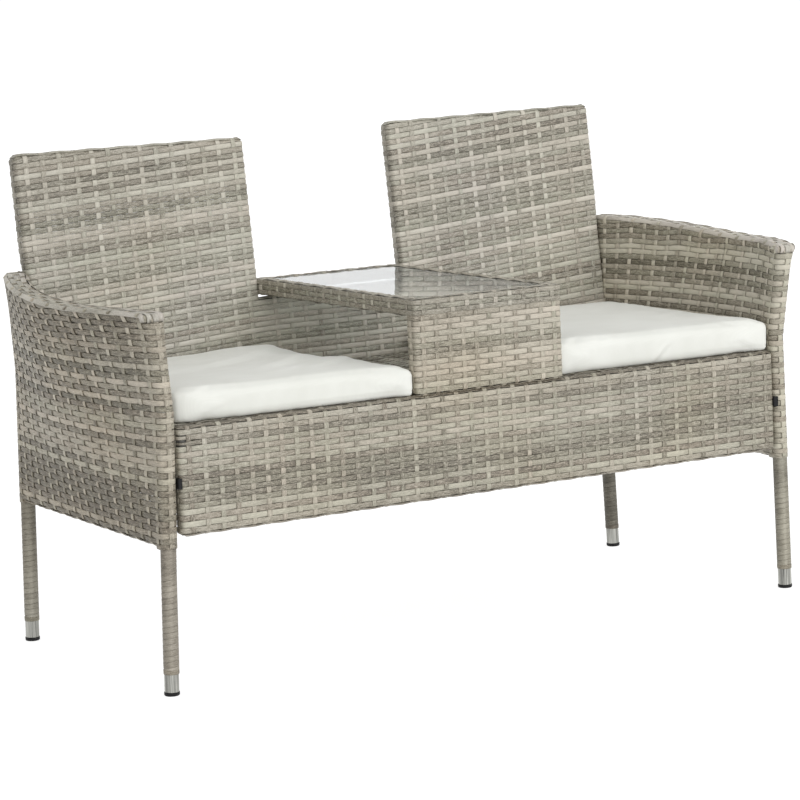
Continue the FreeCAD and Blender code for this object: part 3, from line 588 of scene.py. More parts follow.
def warp_tone(lo=0.0, gain=1.0):
    u = rng.random()
    if u < 0.48:
        t = row_tone(0.86)
    elif u < 0.78:
        t = row_tone(0.58)
    else:
        t = row_tone(0.34)
    return lo + gain * t


def drift(u, v, seed):
    """Smooth change of tone over a panel, about -1 to 1."""
    g = np.random.default_rng(seed)
    out = 0.0
    for _ in range(6):
        a, b, c = g.normal(0, 1), g.normal(0, 1), g.random() * 6.283
        out = out + np.sin(a * u + b * v + c)
    return out / 2.6


def along_tone(base, k, seed, span=150.0, amount=0.13, axis=0):
    """Tone of a row as a function of the points along it."""
    def f(P):
        b = base(P) if callable(base) else base
        return np.clip(b + amount * drift(P[:, axis] / span, k * 0.55, seed), 0.02, 0.98)
    return f


# ------------------------------------------------------------------ apron
def build_columns(out, slab, xs, idx, rows_at, width, tones, place=None, t_from=None, t_to=None, top=True):
    """Vertical strips over a slab. rows_at(x) gives arcs and parities of the
    rows on one face, top middle row first (arc 0) and bottom middle last."""
    for x, i, tone in zip(xs, idx, tones):
        arcs, par = rows_at(x)
        arcs = np.asarray(arcs, float)
        par = np.asarray(par, float) * (1 if i % 2 == 0 else -1)
        cs = np.concatenate([-arcs[::-1], arcs[1:] if arcs[0] < 1e-6 else arcs])
        sg = np.concatenate([par[::-1], par[1:] if arcs[0] < 1e-6 else par])
        t0 = -slab.half if t_from is None else t_from
        t1 = slab.half if t_to is None else t_to
        S = stations(cs, t0, t1, hw=3.0, mid=False, extra=[q * s for q in np.linspace(slab.a1, slab.a2, 4) for s in (-1, 1)])
        P, N = slab.column(x, S)
        off = swing(S, cs, sg, hw=3.0)
        out.add(P + N * off[:, None], N, width, tone, place=place)


def slab_cross(slab, n):
    """Crossings of a loop: n columns evenly spread, the first in the middle
    of the left edge. Also the x of the columns on the front."""
    cs = np.arange(n) * slab.L / n
    c, d = slab.plan(cs)
    x = c[:, 0] + slab.r * d[:, 0]
    return cs, x


def apron():
    sl = Slab(-586.0, 586.0, 257.5, 429.5, 27.0, 8.0)
    nrow = 21
    pitch = sl.half / nrow
    n = 86
    cs, x = slab_cross(sl, n)
    y0 = -256.5

    def place(co):
        co = co.copy()
        co[:, 1] += y0
        co[:, 2] -= 2.3 * (1 - smooth(co[:, 2], 258.0, 300.0))
        return co
    out = Strips("apron_woven", 0.3)

    def narrow(k):
        """Two rows leave short open slits beside them at the left end."""
        cuts = {3: ((3.0, -566.0),), 4: ((1.8, -546.0), (3.2, -570.0))}.get(k, ())
        return lambda xx: pitch - 0.28 - sum(c * (1 - smooth(xx, r - 5.0, r)) for c, r in cuts) + 0.0 * xx
    tones = [0.6, 0.56, 0.66, 0.68, 0.34, 0.84, 0.86, 0.84, 0.86, 0.66, 0.26, 0.3, 0.46, 0.28, 0.26, 0.34, 0.86, 0.24, 0.88, 0.44, 0.4]
    # painted shadow: the first row under the top edge gets a dark tone, for the shade of the cushions and table panel
    # above
    for k in range(1, nrow):
        a = k * pitch
        row_loop(out, sl, cs, -1 if k % 2 == 0 else 1, lambda xx, a=a: np.full_like(xx, a), narrow(k),
                 along_tone(0.21 + 0.52 * row_tone(tones[k]) if k > 1 else 0.14, k, 41, amount=0.1 if k > 1 else 0.06), place=place)
    # middle rows of the top and the bottom edge; the top one gets a dark tone as painted shadow under the cushions and
    # the table panel
    for a, k in ((0.0, 0), (sl.half, nrow)):
        lx = np.array([x[i] for i in range(1, n // 2)])
        S = stations(lx, -579.0, 579.0)
        out_, z, phi = sl.profile(np.full_like(S, a))
        sgn = 1.0 if a == 0 else -1.0
        P = np.stack([S, np.zeros_like(S), z], -1)
        N = np.tile([0, 0, sgn], (len(S), 1))
        sg = np.array([(-1.0 if k % 2 == 0 else 1.0) * (1 if i % 2 == 0 else -1) for i in range(1, n // 2)])
        off = swing(S, lx, sg)
        out.add(P + N * off[:, None], N, 8.6, -0.1 if k == 0 else 0.6, place=place)
    arcs = np.arange(nrow + 1) * pitch
    par = np.array([1.0 if k % 2 == 0 else -1.0 for k in range(nrow + 1)])
    xs = [x[i] for i in range(1, n // 2)]
    build_columns(out, sl, xs, list(range(1, n // 2)), lambda xx: (arcs, par), 8.7, [warp_tone(0.18, 0.6) for _ in xs], place=place)
    # the strip down the middle of each end
    side_columns(out, sl, n, arcs, par, place)
    out.build(WOVEN, nodes=("apron_front_weave", "apron_back_weave"))


def side_columns(out, sl, n, arcs, par, place, sides=("l", "r"), z_lo=None, z_hi=None):
    for side in sides:
        i = 0 if side == "l" else n // 2
        sx = -1.0 if side == "l" else 1.0
        xe = sl.x0 if side == "l" else sl.x1
        zs, sg = [], []
        for a, p in zip(arcs, par):
            if sl.a1 < a < sl.a4 + sl.a1 * 0.5:
                _, z, _ = sl.profile(np.array([a]))
                zs.append(float(z[0]))
                sg.append(p * (1 if i % 2 == 0 else -1))
        zs, sg = np.array(zs)[::-1], np.array(sg)[::-1]
        lo = sl.z0 + 3 if z_lo is None else z_lo
        hi = sl.z1 - 3 if z_hi is None else z_hi
        S = stations(zs, lo, hi, hw=3.0, mid=False)
        bend = sl.r * (1 - np.sqrt(np.clip(1 - (np.clip(np.maximum(sl.z0 + sl.r - S, S - (sl.z1 - sl.r)), 0, sl.r) / sl.r) ** 2, 0, 1)))
        P = np.stack([xe - sx * bend, np.zeros_like(S), S], -1)
        N = np.tile([sx, 0, 0], (len(S), 1)).astype(float)
        off = swing(S, zs, sg, hw=3.0) + tuck(S, lo, hi, True, True, depth=1.4, run=8)
        out.add(P + N * off[:, None], N, 8.6, warp_tone(), place=place)


# ------------------------------------------------------------------ backs
# tones of the rows, from the top edge down, on the left and the right seat
TONES_L = [0.46, 0.86, 0.34, 0.2, 0.64, 0.24, 0.5, 0.86, 0.5, 0.34, 0.18, 0.32, 0.66, 0.7, 0.64, 0.34, 0.18, 0.52, 0.86,
           0.5, 0.66, 0.34, 0.2, 0.66, 0.84, 0.34, 0.66, 0.8, 0.4, 0.24, 0.7, 0.34, 0.5, 0.72, 0.28]
TONES_R = [0.5, 0.8, 0.48, 0.86, 0.24, 0.84, 0.22, 0.26, 0.86, 0.66, 0.24, 0.3, 0.34, 0.26, 0.88, 0.46, 0.3, 0.34, 0.3,
           0.34, 0.88, 0.46, 0.32, 0.28, 0.34, 0.3, 0.88, 0.4, 0.3, 0.34, 0.5, 0.3, 0.8, 0.3, 0.34, 0.66, 0.3]
LEAN = math.atan(0.12)
cL, sL = math.cos(LEAN), math.sin(LEAN)
BT = 27.0 * cL


def back_place(co, cx=None):
    """Lean of the backrests."""
    y = co[:, 1] - BT / 2
    z = co[:, 2]
    return np.stack([co[:, 0], y * cL + z * sL + 315.0 - 840.0 * math.tan(LEAN), -y * sL + z * cL], -1)


def round_corners(co, sl, R, left=True, right=True):
    co = co.copy()
    cz = sl.z1 - R
    for on, cx, s in ((right, sl.x1 - R, 1.0), (left, sl.x0 + R, -1.0)):
        if not on:
            continue
        a = (co[:, 0] - cx) * s / R
        b = (co[:, 2] - cz) / R
        m = (a > 0) & (b > 0)
        a2 = a * np.sqrt(np.clip(1 - b * b / 2, 0.2, 1))
        b2 = b * np.sqrt(np.clip(1 - a * a / 2, 0.2, 1))
        co[:, 0] = np.where(m, cx + s * R * a2, co[:, 0])
        co[:, 2] = np.where(m, cz + R * b2, co[:, 2])
    return co


def slope_of(v, right):
    top = 0.083 if right else 0.068
    return top * np.clip((v - 250.0) / 270.0, 0, 1)


def outward(x, right):
    """Distance outside the inner edge, with a soft start; negative to the left."""
    d = (x - 149.0) if right else (-x - 149.0)
    e = 0.5 * (d + np.sqrt(d * d + 300.0))
    return e if right else -e


def shift_at(x, v):
    """Rise of a row above its height between the seats."""
    x = np.asarray(x, float)
    return slope_of(v, True) * outward(x, True) + slope_of(v, False) * outward(x, False)


def pitch_at(x, v, h=4.8):
    return 1.0 + (shift_at(x, v + h) - shift_at(x, v - h)) / (2 * h)


def backs():
    v0, v1 = 245.0 / cL, (840.7 - BT * sL) / cL
    vm = (557.0 - BT * sL) / cL
    low = Slab(-588.0, 588.0, v0, vm, BT, 7.0)
    nlow = 35
    pitch = low.half / nlow
    # columns: 15 steps over each backrest, 10 between
    up = {True: Slab(149.1, 588.0, v0, v1 + 9.3, BT, 7.0), False: Slab(-588.0, -149.1, v0, v1, BT, 7.0)}
    csu, xr = slab_cross(up[True], 30)
    csl, xl = slab_cross(up[False], 30)
    step = 298.0 / 10
    # x of column i in the whole row: 0 is the left end, 40 the right end
    colx = [None] * 41
    for i in range(1, 15):
        colx[i] = xl[i]
        colx[25 + i] = xr[i]
    for i in range(0, 11):
        colx[15 + i] = -149.0 + step * i
    colx[0], colx[40] = -588.0, 588.0
    # loop crossings in the low slab
    cs_low = []
    g = low.seg
    for i in range(41):
        if i == 0:
            cs_low.append(0.0)
        elif i == 40:
            cs_low.append(low.L / 2)
        else:
            cs_low.append(g[2] + (colx[i] - (low.x0 + low.r)) if abs(colx[i]) <= 581 else
                          (g[1] + 5.5 if colx[i] < 0 else g[3] + 5.5))
    cs_low = np.array(cs_low)
    cs_low = np.concatenate([cs_low, (low.L - cs_low[1:40])[::-1]])

    low_rows = []             # (index, reference height) of full-length rows
    for k in range(2, nlow):
        a = k * pitch
        low_rows.append((k, a))
    lower = Strips("lower_back_woven", -0.4)
    pattern = [MID, MD, LIGHT, DARK, LM, MID, DARK, LM, MD, LIGHT, MID, DARK]
    low_tone = {}
    v_two = float(low.profile(np.array([2 * pitch]))[1][0])

    def list_tone(v, right):
        """Tone from the count of rows below the top edge, at the inner edge."""
        if right:
            t = int(round((v1 - 8.0 - v) / pitch))
            seq = TONES_R
        else:
            t = int(round((v1 - 5.0 - v) / pitch))
            seq = TONES_L
        t = seq[max(t, 0) % len(seq)]
        return 0.28 + 0.67 * t if right else 0.36 + 0.62 * t
    for k, a in low_rows:
        _, v, _ = low.profile(np.array([a]))
        v = float(v[0])
        tl, tr = row_tone(list_tone(v, False)), row_tone(list_tone(v, True))
        # painted light: rows are lighter between the seats, under the table, and towards the right arm, lifting the
        # shade there
        low_tone[k] = along_tone(lambda P, tl=tl, tr=tr: (tl + (tr - tl) * smooth(P[:, 0], -160.0, 160.0)
                                                          + 0.2 * (1 - smooth(np.abs(P[:, 0]), 140.0, 180.0))
                                                          + 0.12 * smooth(P[:, 0], 440.0, 520.0)), k, 43)

        def a_of_x(xx, a=a, v=v):
            if a > low.a3 - 30:
                return np.full_like(xx, a)
            return a - shift_at(xx, v)

        def w_of_x(xx, v=v, a=a):
            if a > low.a3 - 30:
                return np.full_like(xx, pitch - 0.28)
            return (pitch - 0.28) * pitch_at(xx, v)
        # the rows of the backrests' own part run on above the low edge, so the
        # profile here is that of an unbounded face
        tall = Slab(-588.0, 588.0, v0, vm + 200.0, BT, 7.0)

        def a_tall(xx, f=a_of_x):
            return f(xx) + 200.0
        row_loop(lower, tall, cs_low, -1 if k % 2 == 0 else 1, a_tall, w_of_x, low_tone[k], place=back_place)
    # top edge of the low part, between the backrests
    mid_x = np.array(colx[15:26])
    for k, a, side in ((0, 0.0, 0), (1, pitch, -1), (1, pitch, 1)):
        S = stations(mid_x, -152.0, 152.0)
        out_, z, phi = low.profile(np.full_like(S, a))
        P = np.stack([S, side * out_ if side else np.zeros_like(S), z], -1)
        N = np.stack([np.zeros_like(S), side * np.cos(phi) if side else np.zeros_like(S), np.sin(phi) if side else np.ones_like(S)], -1)
        sg = np.array([(-1.0 if k % 2 == 0 else 1.0) * (1 if i % 2 == 0 else -1) for i in range(15, 26)])
        off = swing(S, mid_x, sg)
        lower.add(P + N * off[:, None], N, pitch - 0.6, row_tone(0.6), place=back_place)
    arcs_mid = np.arange(nlow + 1) * pitch
    par_mid = np.array([1.0 if k % 2 == 0 else -1.0 for k in range(nlow + 1)])
    xs = [colx[i] for i in range(16, 25)]
    # painted light: the columns between the seats, under the table, get lighter tones, lifting the shade there
    build_columns(lower, low, xs, list(range(16, 25)), lambda xx: (arcs_mid, par_mid), 8.6, [warp_tone(0.36, 0.7) for _ in xs], place=back_place)
    # bottom middle row
    bx = np.array(colx[1:40])
    S = stations(bx, -580.0, 580.0)
    P = np.stack([S, np.zeros_like(S), np.full_like(S, v0)], -1)
    N = np.tile([0.0, 0.0, -1.0], (len(S), 1))
    sg = np.array([(-1.0 if nlow % 2 == 0 else 1.0) * (1 if i % 2 == 0 else -1) for i in range(1, 40)])
    lower.add(P + N * swing(S, bx, sg)[:, None], N, 8.6, 0.5, place=back_place)
    lower.build(WOVEN, nodes=("middle_back_front_weave", "middle_back_rear_weave"))

    for right in (True, False):
        sl = up[right]
        cs = csu if right else csl
        xx_cols = xr if right else xl
        base = 25 if right else 0
        name = ("right" if right else "left") + "_backrest_woven"
        out = Strips(name, -0.4)

        def shaded(f, sl=sl):
            """The left edge of each backrest is darker."""
            return lambda P: f(P) - 0.2 * (1 - smooth(P[:, 0], sl.x0 + 1.0, sl.x0 + 6.5))

        def place(co, sl=sl, right=right):
            co = back_place(round_corners(co, sl, 8.0))
            # the panels spread a little towards the top, and the right one's
            # top edge isn't quite level
            co[:, 0] += (2.4 if right else -3.4) * smooth(np.abs(co[:, 0]), 420.0, 588.0) * smooth(co[:, 2], 600.0, 690.0)
            if right:
                co[:, 2] += (-2.2 + 4.4 * np.clip((co[:, 0] - 149.0) / 439.0, 0, 1)) * smooth(co[:, 2], 640.0, 845.0)
            return co
        v2 = float(low.profile(np.array([2 * pitch]))[1][0])
        a_clip = 11.2
        rows = []
        m = 1
        while True:
            v = v2 + pitch * m
            if v - (40 if not right else 0) > sl.z1 - 8:
                break
            rows.append((2 - m, v))
            m += 1
        tones = {}
        for k, v in rows:
            j = 2 - k
            rt = row_tone(list_tone(v, right))
            # painted light: rows of the right backrest are lighter near its lower inner corner beside the table,
            # lifting the shade there
            near_table_light = 0.16 if right else 0.0
            tones[k] = shaded(along_tone(lambda P, rt=rt, near_table_light=near_table_light: (
                rt + near_table_light * (1 - smooth(P[:, 0], 190.0, 240.0)) * (1 - smooth(P[:, 2], 640.0, 690.0))), k, 44 if right else 45))
            fn = lambda xx, v=v, sl=sl: sl.z_to_a(v + shift_at(xx, v))
            wf = lambda xx, v=v: (pitch - 0.28) * pitch_at(xx, v)
            par = (-1 if k % 2 == 0 else 1) * (1 if base % 2 == 0 else -1)
            row_loop(out, sl, cs, par, fn, wf, tones[k], a_clip=a_clip, place=place,
                     sink=lambda a: 1.5 * (1 - smooth(a, 11.0, 19.0)))
        # rows along the top edge: a loop round it and one down the middle
        p1 = -1
        row_loop(out, sl, cs, p1, lambda xx: np.full_like(xx, 9.4), 9.3, shaded(along_tone(0.66, 99, 46)), place=place,
                 sink=lambda a: np.full_like(a, -0.25))
        # flat strips laid behind them, where the rows run out
        for arc, drop in ((15.5, 2.5), (25.0, 2.1)):
            row_loop(out, sl, cs, 0, lambda xx, arc=arc: np.full_like(xx, arc), 11.0, 0.34, place=place,
                     sink=lambda a, drop=drop: np.full_like(a, drop), thick=0.8)
        lx = np.array([xx_cols[i] for i in range(1, 15)])
        S = stations(lx, sl.x0 + 6, sl.x1 - 6)
        P = np.stack([S, np.zeros_like(S), np.full_like(S, sl.z1)], -1)
        N = np.tile([0.0, 0.0, 1.0], (len(S), 1))
        sg = np.array([-p1 * (1.0 if i % 2 == 0 else -1) for i in range(1, 15)])
        out.add(P + N * swing(S, lx, sg)[:, None], N, 8.8, row_tone(0.68), place=place)

        def rows_at(x, sl=sl, right=right, rows=rows, p1=p1, base=base):
            arcs = [0.0, 9.4]
            b = 1.0 if base % 2 == 0 else -1.0
            par = [p1, -p1]
            for k, v in sorted(rows):
                a = sl.z_to_a(v + float(shift_at(x, v)))
                if a >= a_clip + 2:
                    arcs.append(a)
                    par.append((1.0 if k % 2 == 0 else -1.0) * b)
            for k, a in low_rows:
                _, v, _ = low.profile(np.array([a]))
                if a > low.a3 - 30:
                    aa = sl.half - (low.half - a)
                else:
                    aa = sl.z_to_a(float(v[0]) + float(shift_at(x, float(v[0]))))
                arcs.append(aa)
                par.append((1.0 if k % 2 == 0 else -1.0) * b)
            arcs.append(sl.half)
            par.append((1.0 if nlow % 2 == 0 else -1.0) * b)
            arcs, par = np.array(arcs), np.array(par)
            o = np.argsort(arcs)
            return arcs[o], par[o]
        xs = [xx_cols[i] for i in range(1, 15)]
        if right:
            wt = [0.86, 0.5, 0.92, 0.55, 0.72, 0.93, 0.5, 0.95, 0.6, 0.93, 0.94, 0.55, 0.58, 0.5]
        else:
            wt = [0.86, 0.7, 0.6, 0.66, 0.93, 0.6, 0.78, 0.84, 0.55, 0.7, 0.62, 0.6, 0.9, 0.8]
        build_columns(out, sl, xs, list(range(1, 15)), rows_at, 8.9, [0.2 + 0.78 * row_tone(t) for t in wt], place=place)
        # strips down the middle of the two upright edges
        for side in ("l", "r"):
            inner = (side == "l") == right
            xe = sl.x0 if side == "l" else sl.x1
            arcs, par = rows_at(xe)
            keep = (arcs > sl.a2) & (arcs < sl.a3)
            zs = (sl.z1 - sl.r - (arcs[keep] - sl.a2))[::-1]
            i = 0 if side == "l" else 15
            sg = (par[keep] * (1 if i % 2 == 0 else -1))[::-1]
            lo = vm - 4 if inner else v0 + 3
            S = stations(zs, lo, sl.z1 - 6, hw=3.0, mid=False)
            sx = -1.0 if side == "l" else 1.0
            P = np.stack([np.full_like(S, xe), np.zeros_like(S), S], -1)
            N = np.tile([sx, 0.0, 0.0], (len(S), 1))
            off = swing(S, zs, sg, hw=3.0) + tuck(S, lo, sl.z1 - 6, True, True, depth=1.2, run=8)
            # painted shade: the strip on each backrest's left upright edge is darker, for the side turned away from the
            # light
            out.add(P + N * off[:, None], N, 8.6, warp_tone(-0.15 if side == "l" else 0.0, 0.9), place=place)
        pre = "right" if right else "left"
        out.build(WOVEN, nodes=(pre + "_back_front_weave", pre + "_back_rear_weave"))


# ------------------------------------------------------------------ table
def table_panel():
    sl = Slab(-144.0, 144.0, 430.3, 589.5, 27.0, 6.0)
    pitch = 9.3
    n = 24
    cs, x = slab_cross(sl, n)

    def place(co):
        co = co.copy()
        co[:, 1] += -256.5
        return co
    out = Strips("table_panel_woven", 0.5)
    tones = [0.5, 0.46, 0.5, 0.72, 0.46, 0.7, 0.72, 0.84, 0.66, 0.3, 0.34, 0.76, 0.66, 0.8, 0.84, 0.5, 0.5]
    arcs, par = [], []
    for k in range(0, 16):
        a = sl.half - pitch * k
        p = 1.0 if k % 2 == 0 else -1.0
        arcs.append(a)
        par.append(p)
        if k == 0:
            continue
        row_loop(out, sl, cs, -p, lambda xx, a=a: np.full_like(xx, a), pitch - 0.26,
                 along_tone(0.22 + 0.7 * row_tone(tones[k]), k, 51, span=90.0, amount=0.08), place=place)
    arcs, par = np.array(arcs[::-1]), np.array(par[::-1])
    for i in range(1, n // 2):
        for side in (-1, 1):
            sg = par * (1 if i % 2 == 0 else -1)
            t0, t1 = sl.z_to_a(562.5), sl.half
            S = stations(arcs, t0, t1, hw=3.0, mid=False, extra=np.linspace(sl.a3, sl.a4, 4))
            o, z, phi = sl.profile(S)
            P = np.stack([np.full_like(S, x[i]), side * o, z], -1)
            N = np.stack([np.zeros_like(S), side * np.cos(phi), np.sin(phi)], -1)
            off = swing(S, arcs, sg, hw=3.0)
            wt = [0.8, 0.58, 0.5, 0.36, 0.6, 0.4, 0.34, 0.66, 0.4, 0.38, 0.8, 0.66][i % 12]
            out.add(P + N * off[:, None], N, 8.6, 0.2 + 0.7 * wt, place=place)
    side_columns(out, sl, n, arcs, par, place, z_hi=562.0)
    out.build(WOVEN, nodes=("table_panel_front_weave", "table_panel_back_weave"))


def table_rim():
    """Rows run round the table's edge; short wraps go round the rail."""
    out = Strips("table_rim_woven")
    W, H, R = 19.6, 27.3, 4.0
    cy, hx, hy = 2.5, 144.0, 272.5
    zc = 589.5 - H / 2
    per = 2 * (W + H - 4 * R) + 2 * math.pi * R
    nrow = 10
    pitch = per / nrow

    def section(p):
        """Inset from the outer edge, height and normal of the rail's skin."""
        p = np.mod(np.asarray(p, float) + per, per)
        # start in the middle of the outer face, going up
        segs = [H / 2 - R, math.pi / 2 * R, W - 2 * R, math.pi / 2 * R, H - 2 * R, math.pi / 2 * R, W - 2 * R, math.pi / 2 * R, H / 2 - R]
        g = np.cumsum([0] + segs)
        k = np.clip(np.searchsorted(g, p, side="right") - 1, 0, 8)
        u = (p - g[k]) / np.array(segs)[k]
        st = np.array([[0, 0], [R, H / 2 - R], [R, H / 2 - R], [W - R, H / 2 - R], [W - R, H / 2 - R], [W - R, -H / 2 + R], [W - R, -H / 2 + R], [R, -H / 2 + R], [R, -H / 2 + R]], float)
        en = np.array([[0, 0], [R, H / 2 - R], [W - R, H / 2 - R], [W - R, H / 2 - R], [W - R, -H / 2 + R], [W - R, -H / 2 + R], [R, -H / 2 + R], [R, -H / 2 + R], [R, 0]], float)
        st[0], en[0] = [R, 0], [R, H / 2 - R]
        t0 = np.array([180, 180, 90, 90, 0, 0, -90, -90, -180.0])
        t1 = np.array([180, 90, 90, 0, 0, -90, -90, -180, -180.0])
        c = st[k] + (en[k] - st[k]) * u[:, None]
        th = np.radians(t0[k] + (t1[k] - t0[k]) * u)
        nn = np.stack([np.cos(th), np.sin(th)], -1)
        return c + R * nn, nn          # (inset, dz), normal (inward, up)

    def flare(co):
        """The rim's rear corners reach the backrests."""
        co = co.copy()
        co[:, 0] += np.sign(co[:, 0]) * 5.2 * smooth(co[:, 1], 236.0, 262.0) * smooth(np.abs(co[:, 0]), 90.0, 135.0)
        return co

    fx = [-126.0 + 28.0 * i for i in range(10)]
    sy = [-270.0 + 24.0 + (545.0 - 48.0) / 18 * i for i in range(19)]
    tone_rows = [0.42, 0.46, 0.5, 0.6, 0.5, 0.35, 0.3, 0.3, 0.35, 0.4]
    for j in range(nrow):
        (ins, dz), nn = [v[0] for v in section(np.array([j * pitch]))]
        d = float(ins)
        z = zc + float(dz)
        nin, nup = float(nn[0]), float(nn[1])
        rc = max(4.5 - d, 2.5)
        ax, ay = hx - d, hy - d
        # path from the middle of the rear side, anticlockwise seen from above:
        pts, nrm, s_cross = [], [], []
        s = 0.0
        sides = [((0, ay), (-1, 0), ax - rc, (0, 1)), ((-ax, ay - rc), (0, -1), 2 * (ay - rc), (-1, 0)),
                 ((-ax + rc, -ay), (1, 0), 2 * (ax - rc), (0, -1)), ((ax, -ay + rc), (0, 1), 2 * (ay - rc), (1, 0)),
                 ((ax - rc, ay), (-1, 0), ax - rc, (0, 1))]
        cross_at = [[-x for x in fx if x > 0], sy[::-1], fx, sy, [x for x in fx[::-1] if x > 0]]
        for q, ((px, py), (dx, dy), ln, (nx, ny)) in enumerate(sides):
            steps = max(2, int(ln / 14))
            loc = []
            for c in (cross_at[q]):
                if q == 0:
                    t = -c if False else abs(c)
                elif q == 1:
                    t = (ay - rc) - c
                elif q == 2:
                    t = c + ax - rc
                elif q == 3:
                    t = c + ay - rc
                else:
                    t = (ax - rc) - c
                loc.append(t)
            loc = sorted(loc)
            s_cross += [s + t for t in loc]
            pts.append((px, py, dx, dy, ln, nx, ny, s))
            s += ln
            if q < 4:
                s += math.pi / 2 * rc
        total = s
        s_cross = np.array(s_cross)
        sg = np.array([(1.0 if (i + j) % 2 == 0 else -1.0) for i in range(len(s_cross))])
        extra = []
        for (px, py, dx, dy, ln, nx, ny, s0) in pts[:-1]:
            extra += list(np.linspace(s0 + ln, s0 + ln + math.pi / 2 * rc, 5))
        S = stations(s_cross, 0.0, total, extra=extra)
        P = np.zeros((len(S), 3))
        NN = np.zeros((len(S), 3))
        for i, sv in enumerate(S):
            for q, (px, py, dx, dy, ln, nx, ny, s0) in enumerate(pts):
                if sv <= s0 + ln + 1e-9 or q == len(pts) - 1:
                    P[i, :2] = (px + dx * (sv - s0), py + dy * (sv - s0))
                    h = np.array([nx, ny], float)
                    break
                nxt = pts[q + 1][7]
                if sv < nxt:
                    u = (sv - s0 - ln) / (nxt - s0 - ln) * math.pi / 2
                    cx_, cy_ = px + dx * ln - nx * rc, py + dy * ln - ny * rc
                    h = np.array([nx, ny]) * math.cos(u) + np.array([dx, dy]) * math.sin(u)
                    P[i, :2] = (cx_ + rc * h[0], cy_ + rc * h[1])
                    break
            P[i, 2] = z
            NN[i] = (-nin * h[0], -nin * h[1], nup)
        P[:, 1] += cy
        off = swing(S, s_cross, sg)
        shade = 0.02 * smooth(-P[:, 0], ax - 6.0, ax - 1.0)
        out.add(P + NN * off[:, None], NN, pitch - 0.3, 0.1 + 0.9 * row_tone(tone_rows[j]) - shade, place=flare)
    # wraps round the rail
    p_rows = np.arange(nrow + 1) * pitch

    def wrap(pos, axis, side, i):
        S = stations(p_rows, 0.0, per, hw=2.8, mid=False)
        c, nn = section(S)
        sg = np.array([(-1.0 if (i + j) % 2 == 0 else 1.0) for j in range(nrow + 1)])
        off = swing(S, p_rows, sg, hw=2.8)
        q = c + nn * off[:, None]
        P = np.zeros((len(S), 3))
        N = np.zeros((len(S), 3))
        if axis == "y":
            P[:, 0] = side * (hx - q[:, 0])
            P[:, 1] = pos
            N[:, 0] = -side * nn[:, 0]
        else:
            P[:, 1] = cy + side * (hy - q[:, 0])
            P[:, 0] = pos
            N[:, 1] = -side * nn[:, 0]
        P[:, 2] = zc + q[:, 1]
        N[:, 2] = nn[:, 1]
        out.add(P, N, 8.4, warp_tone(0.1, 0.88), place=flare)
    half = len([x for x in fx if x > 0])
    for i, xx in enumerate(x for x in fx if x > 0):
        wrap(-xx, "x", 1, i)
    for i, yy in enumerate(sy[::-1]):
        wrap(yy, "y", -1, half + i)
    for i, xx in enumerate(fx):
        wrap(xx, "x", -1, half + 19 + i)
    for i, yy in enumerate(sy):
        wrap(yy, "y", 1, half + 29 + i)
    for i, xx in enumerate(x for x in fx[::-1] if x > 0):
        wrap(xx, "x", 1, half + 48 + i)
    out.build(WOVEN, nodes=("table_rim_weave",))


# ------------------------------------------------------------------ deck
def deck():
    out = Strips("seat_deck_woven")
    y0, y1, z = -239.0, 235.0, 429.0
    rows = np.arange(y0 + 4.6, y1, 9.35)
    cols = np.arange(-574.0, 575.0, 28.0)
    for k, y in enumerate(rows):
        sg = np.array([(1.0 if (i + k) % 2 == 0 else -1.0) for i in range(len(cols))])
        S = stations(cols, -600.0, 600.0, extra=(-586, -592, 586, 592), mid=False)
        x = np.clip(S, -585.0, 585.0)
        over = np.abs(S) - 585.0
        zz = np.where(over > 0, z - over * 0.9, z)
        P = np.stack([x, np.full_like(S, y), zz], -1)
        N = np.stack([np.sign(S) * np.clip(over / 6.0, 0, 1), np.zeros_like(S), np.ones_like(S) * np.clip(1 - over / 9.0, 0.1, 1)], -1)
        off = swing(S, cols, sg) * np.where(over > 0, 0.3, 1.0)
        out.add(P + unit(N) * off[:, None], N, 9.05, row_tone(rng.choice([LIGHT, LM, MID, MD, DARK], p=[.2, .2, .25, .2, .15])))
    for i, x in enumerate(cols):
        sg = np.array([(-1.0 if (i + k) % 2 == 0 else 1.0) for k in range(len(rows))])
        S = stations(rows, y0 - 1, y1 + 2, hw=3.0, mid=False)
        P = np.stack([np.full_like(S, x), S, np.full_like(S, z)], -1)
        N = np.tile([0.0, 0.0, 1.0], (len(S), 1))
        out.add(P + N * swing(S, rows, sg, hw=3.0)[:, None], N, 8.6, warp_tone())
    out.build(WOVEN, nodes=("seat_deck_weave",))


# ------------------------------------------------------------------ arms
ARM_TONES_L = [0.3, 0.34, 0.46, 0.3, 0.34, 0.64, 0.34, 0.3, 0.84, 0.2, 0.34, 0.84, 0.5, 0.34, 0.86, 0.2, 0.34, 0.66, 0.68,
               0.5, 0.76, 0.2, 0.56, 0.64, 0.68, 0.7, 0.24, 0.84, 0.34, 0.18, 0.22, 0.18, 0.2, 0.22, 0.18, 0.3, 0.84, 0.34,
               0.3, 0.34]
ARM_TONES_R = [0.34, 0.48, 0.84, 0.66, 0.32, 0.2, 0.64, 0.32, 0.34, 0.84, 0.76, 0.22, 0.84, 0.32, 0.66, 0.34, 0.2, 0.66,
               0.84, 0.5, 0.34, 0.3, 0.7, 0.66, 0.34, 0.24, 0.84, 0.64, 0.36, 0.24, 0.5, 0.3, 0.7, 0.66, 0.34, 0.5, 0.8,
               0.34, 0.4, 0.5]
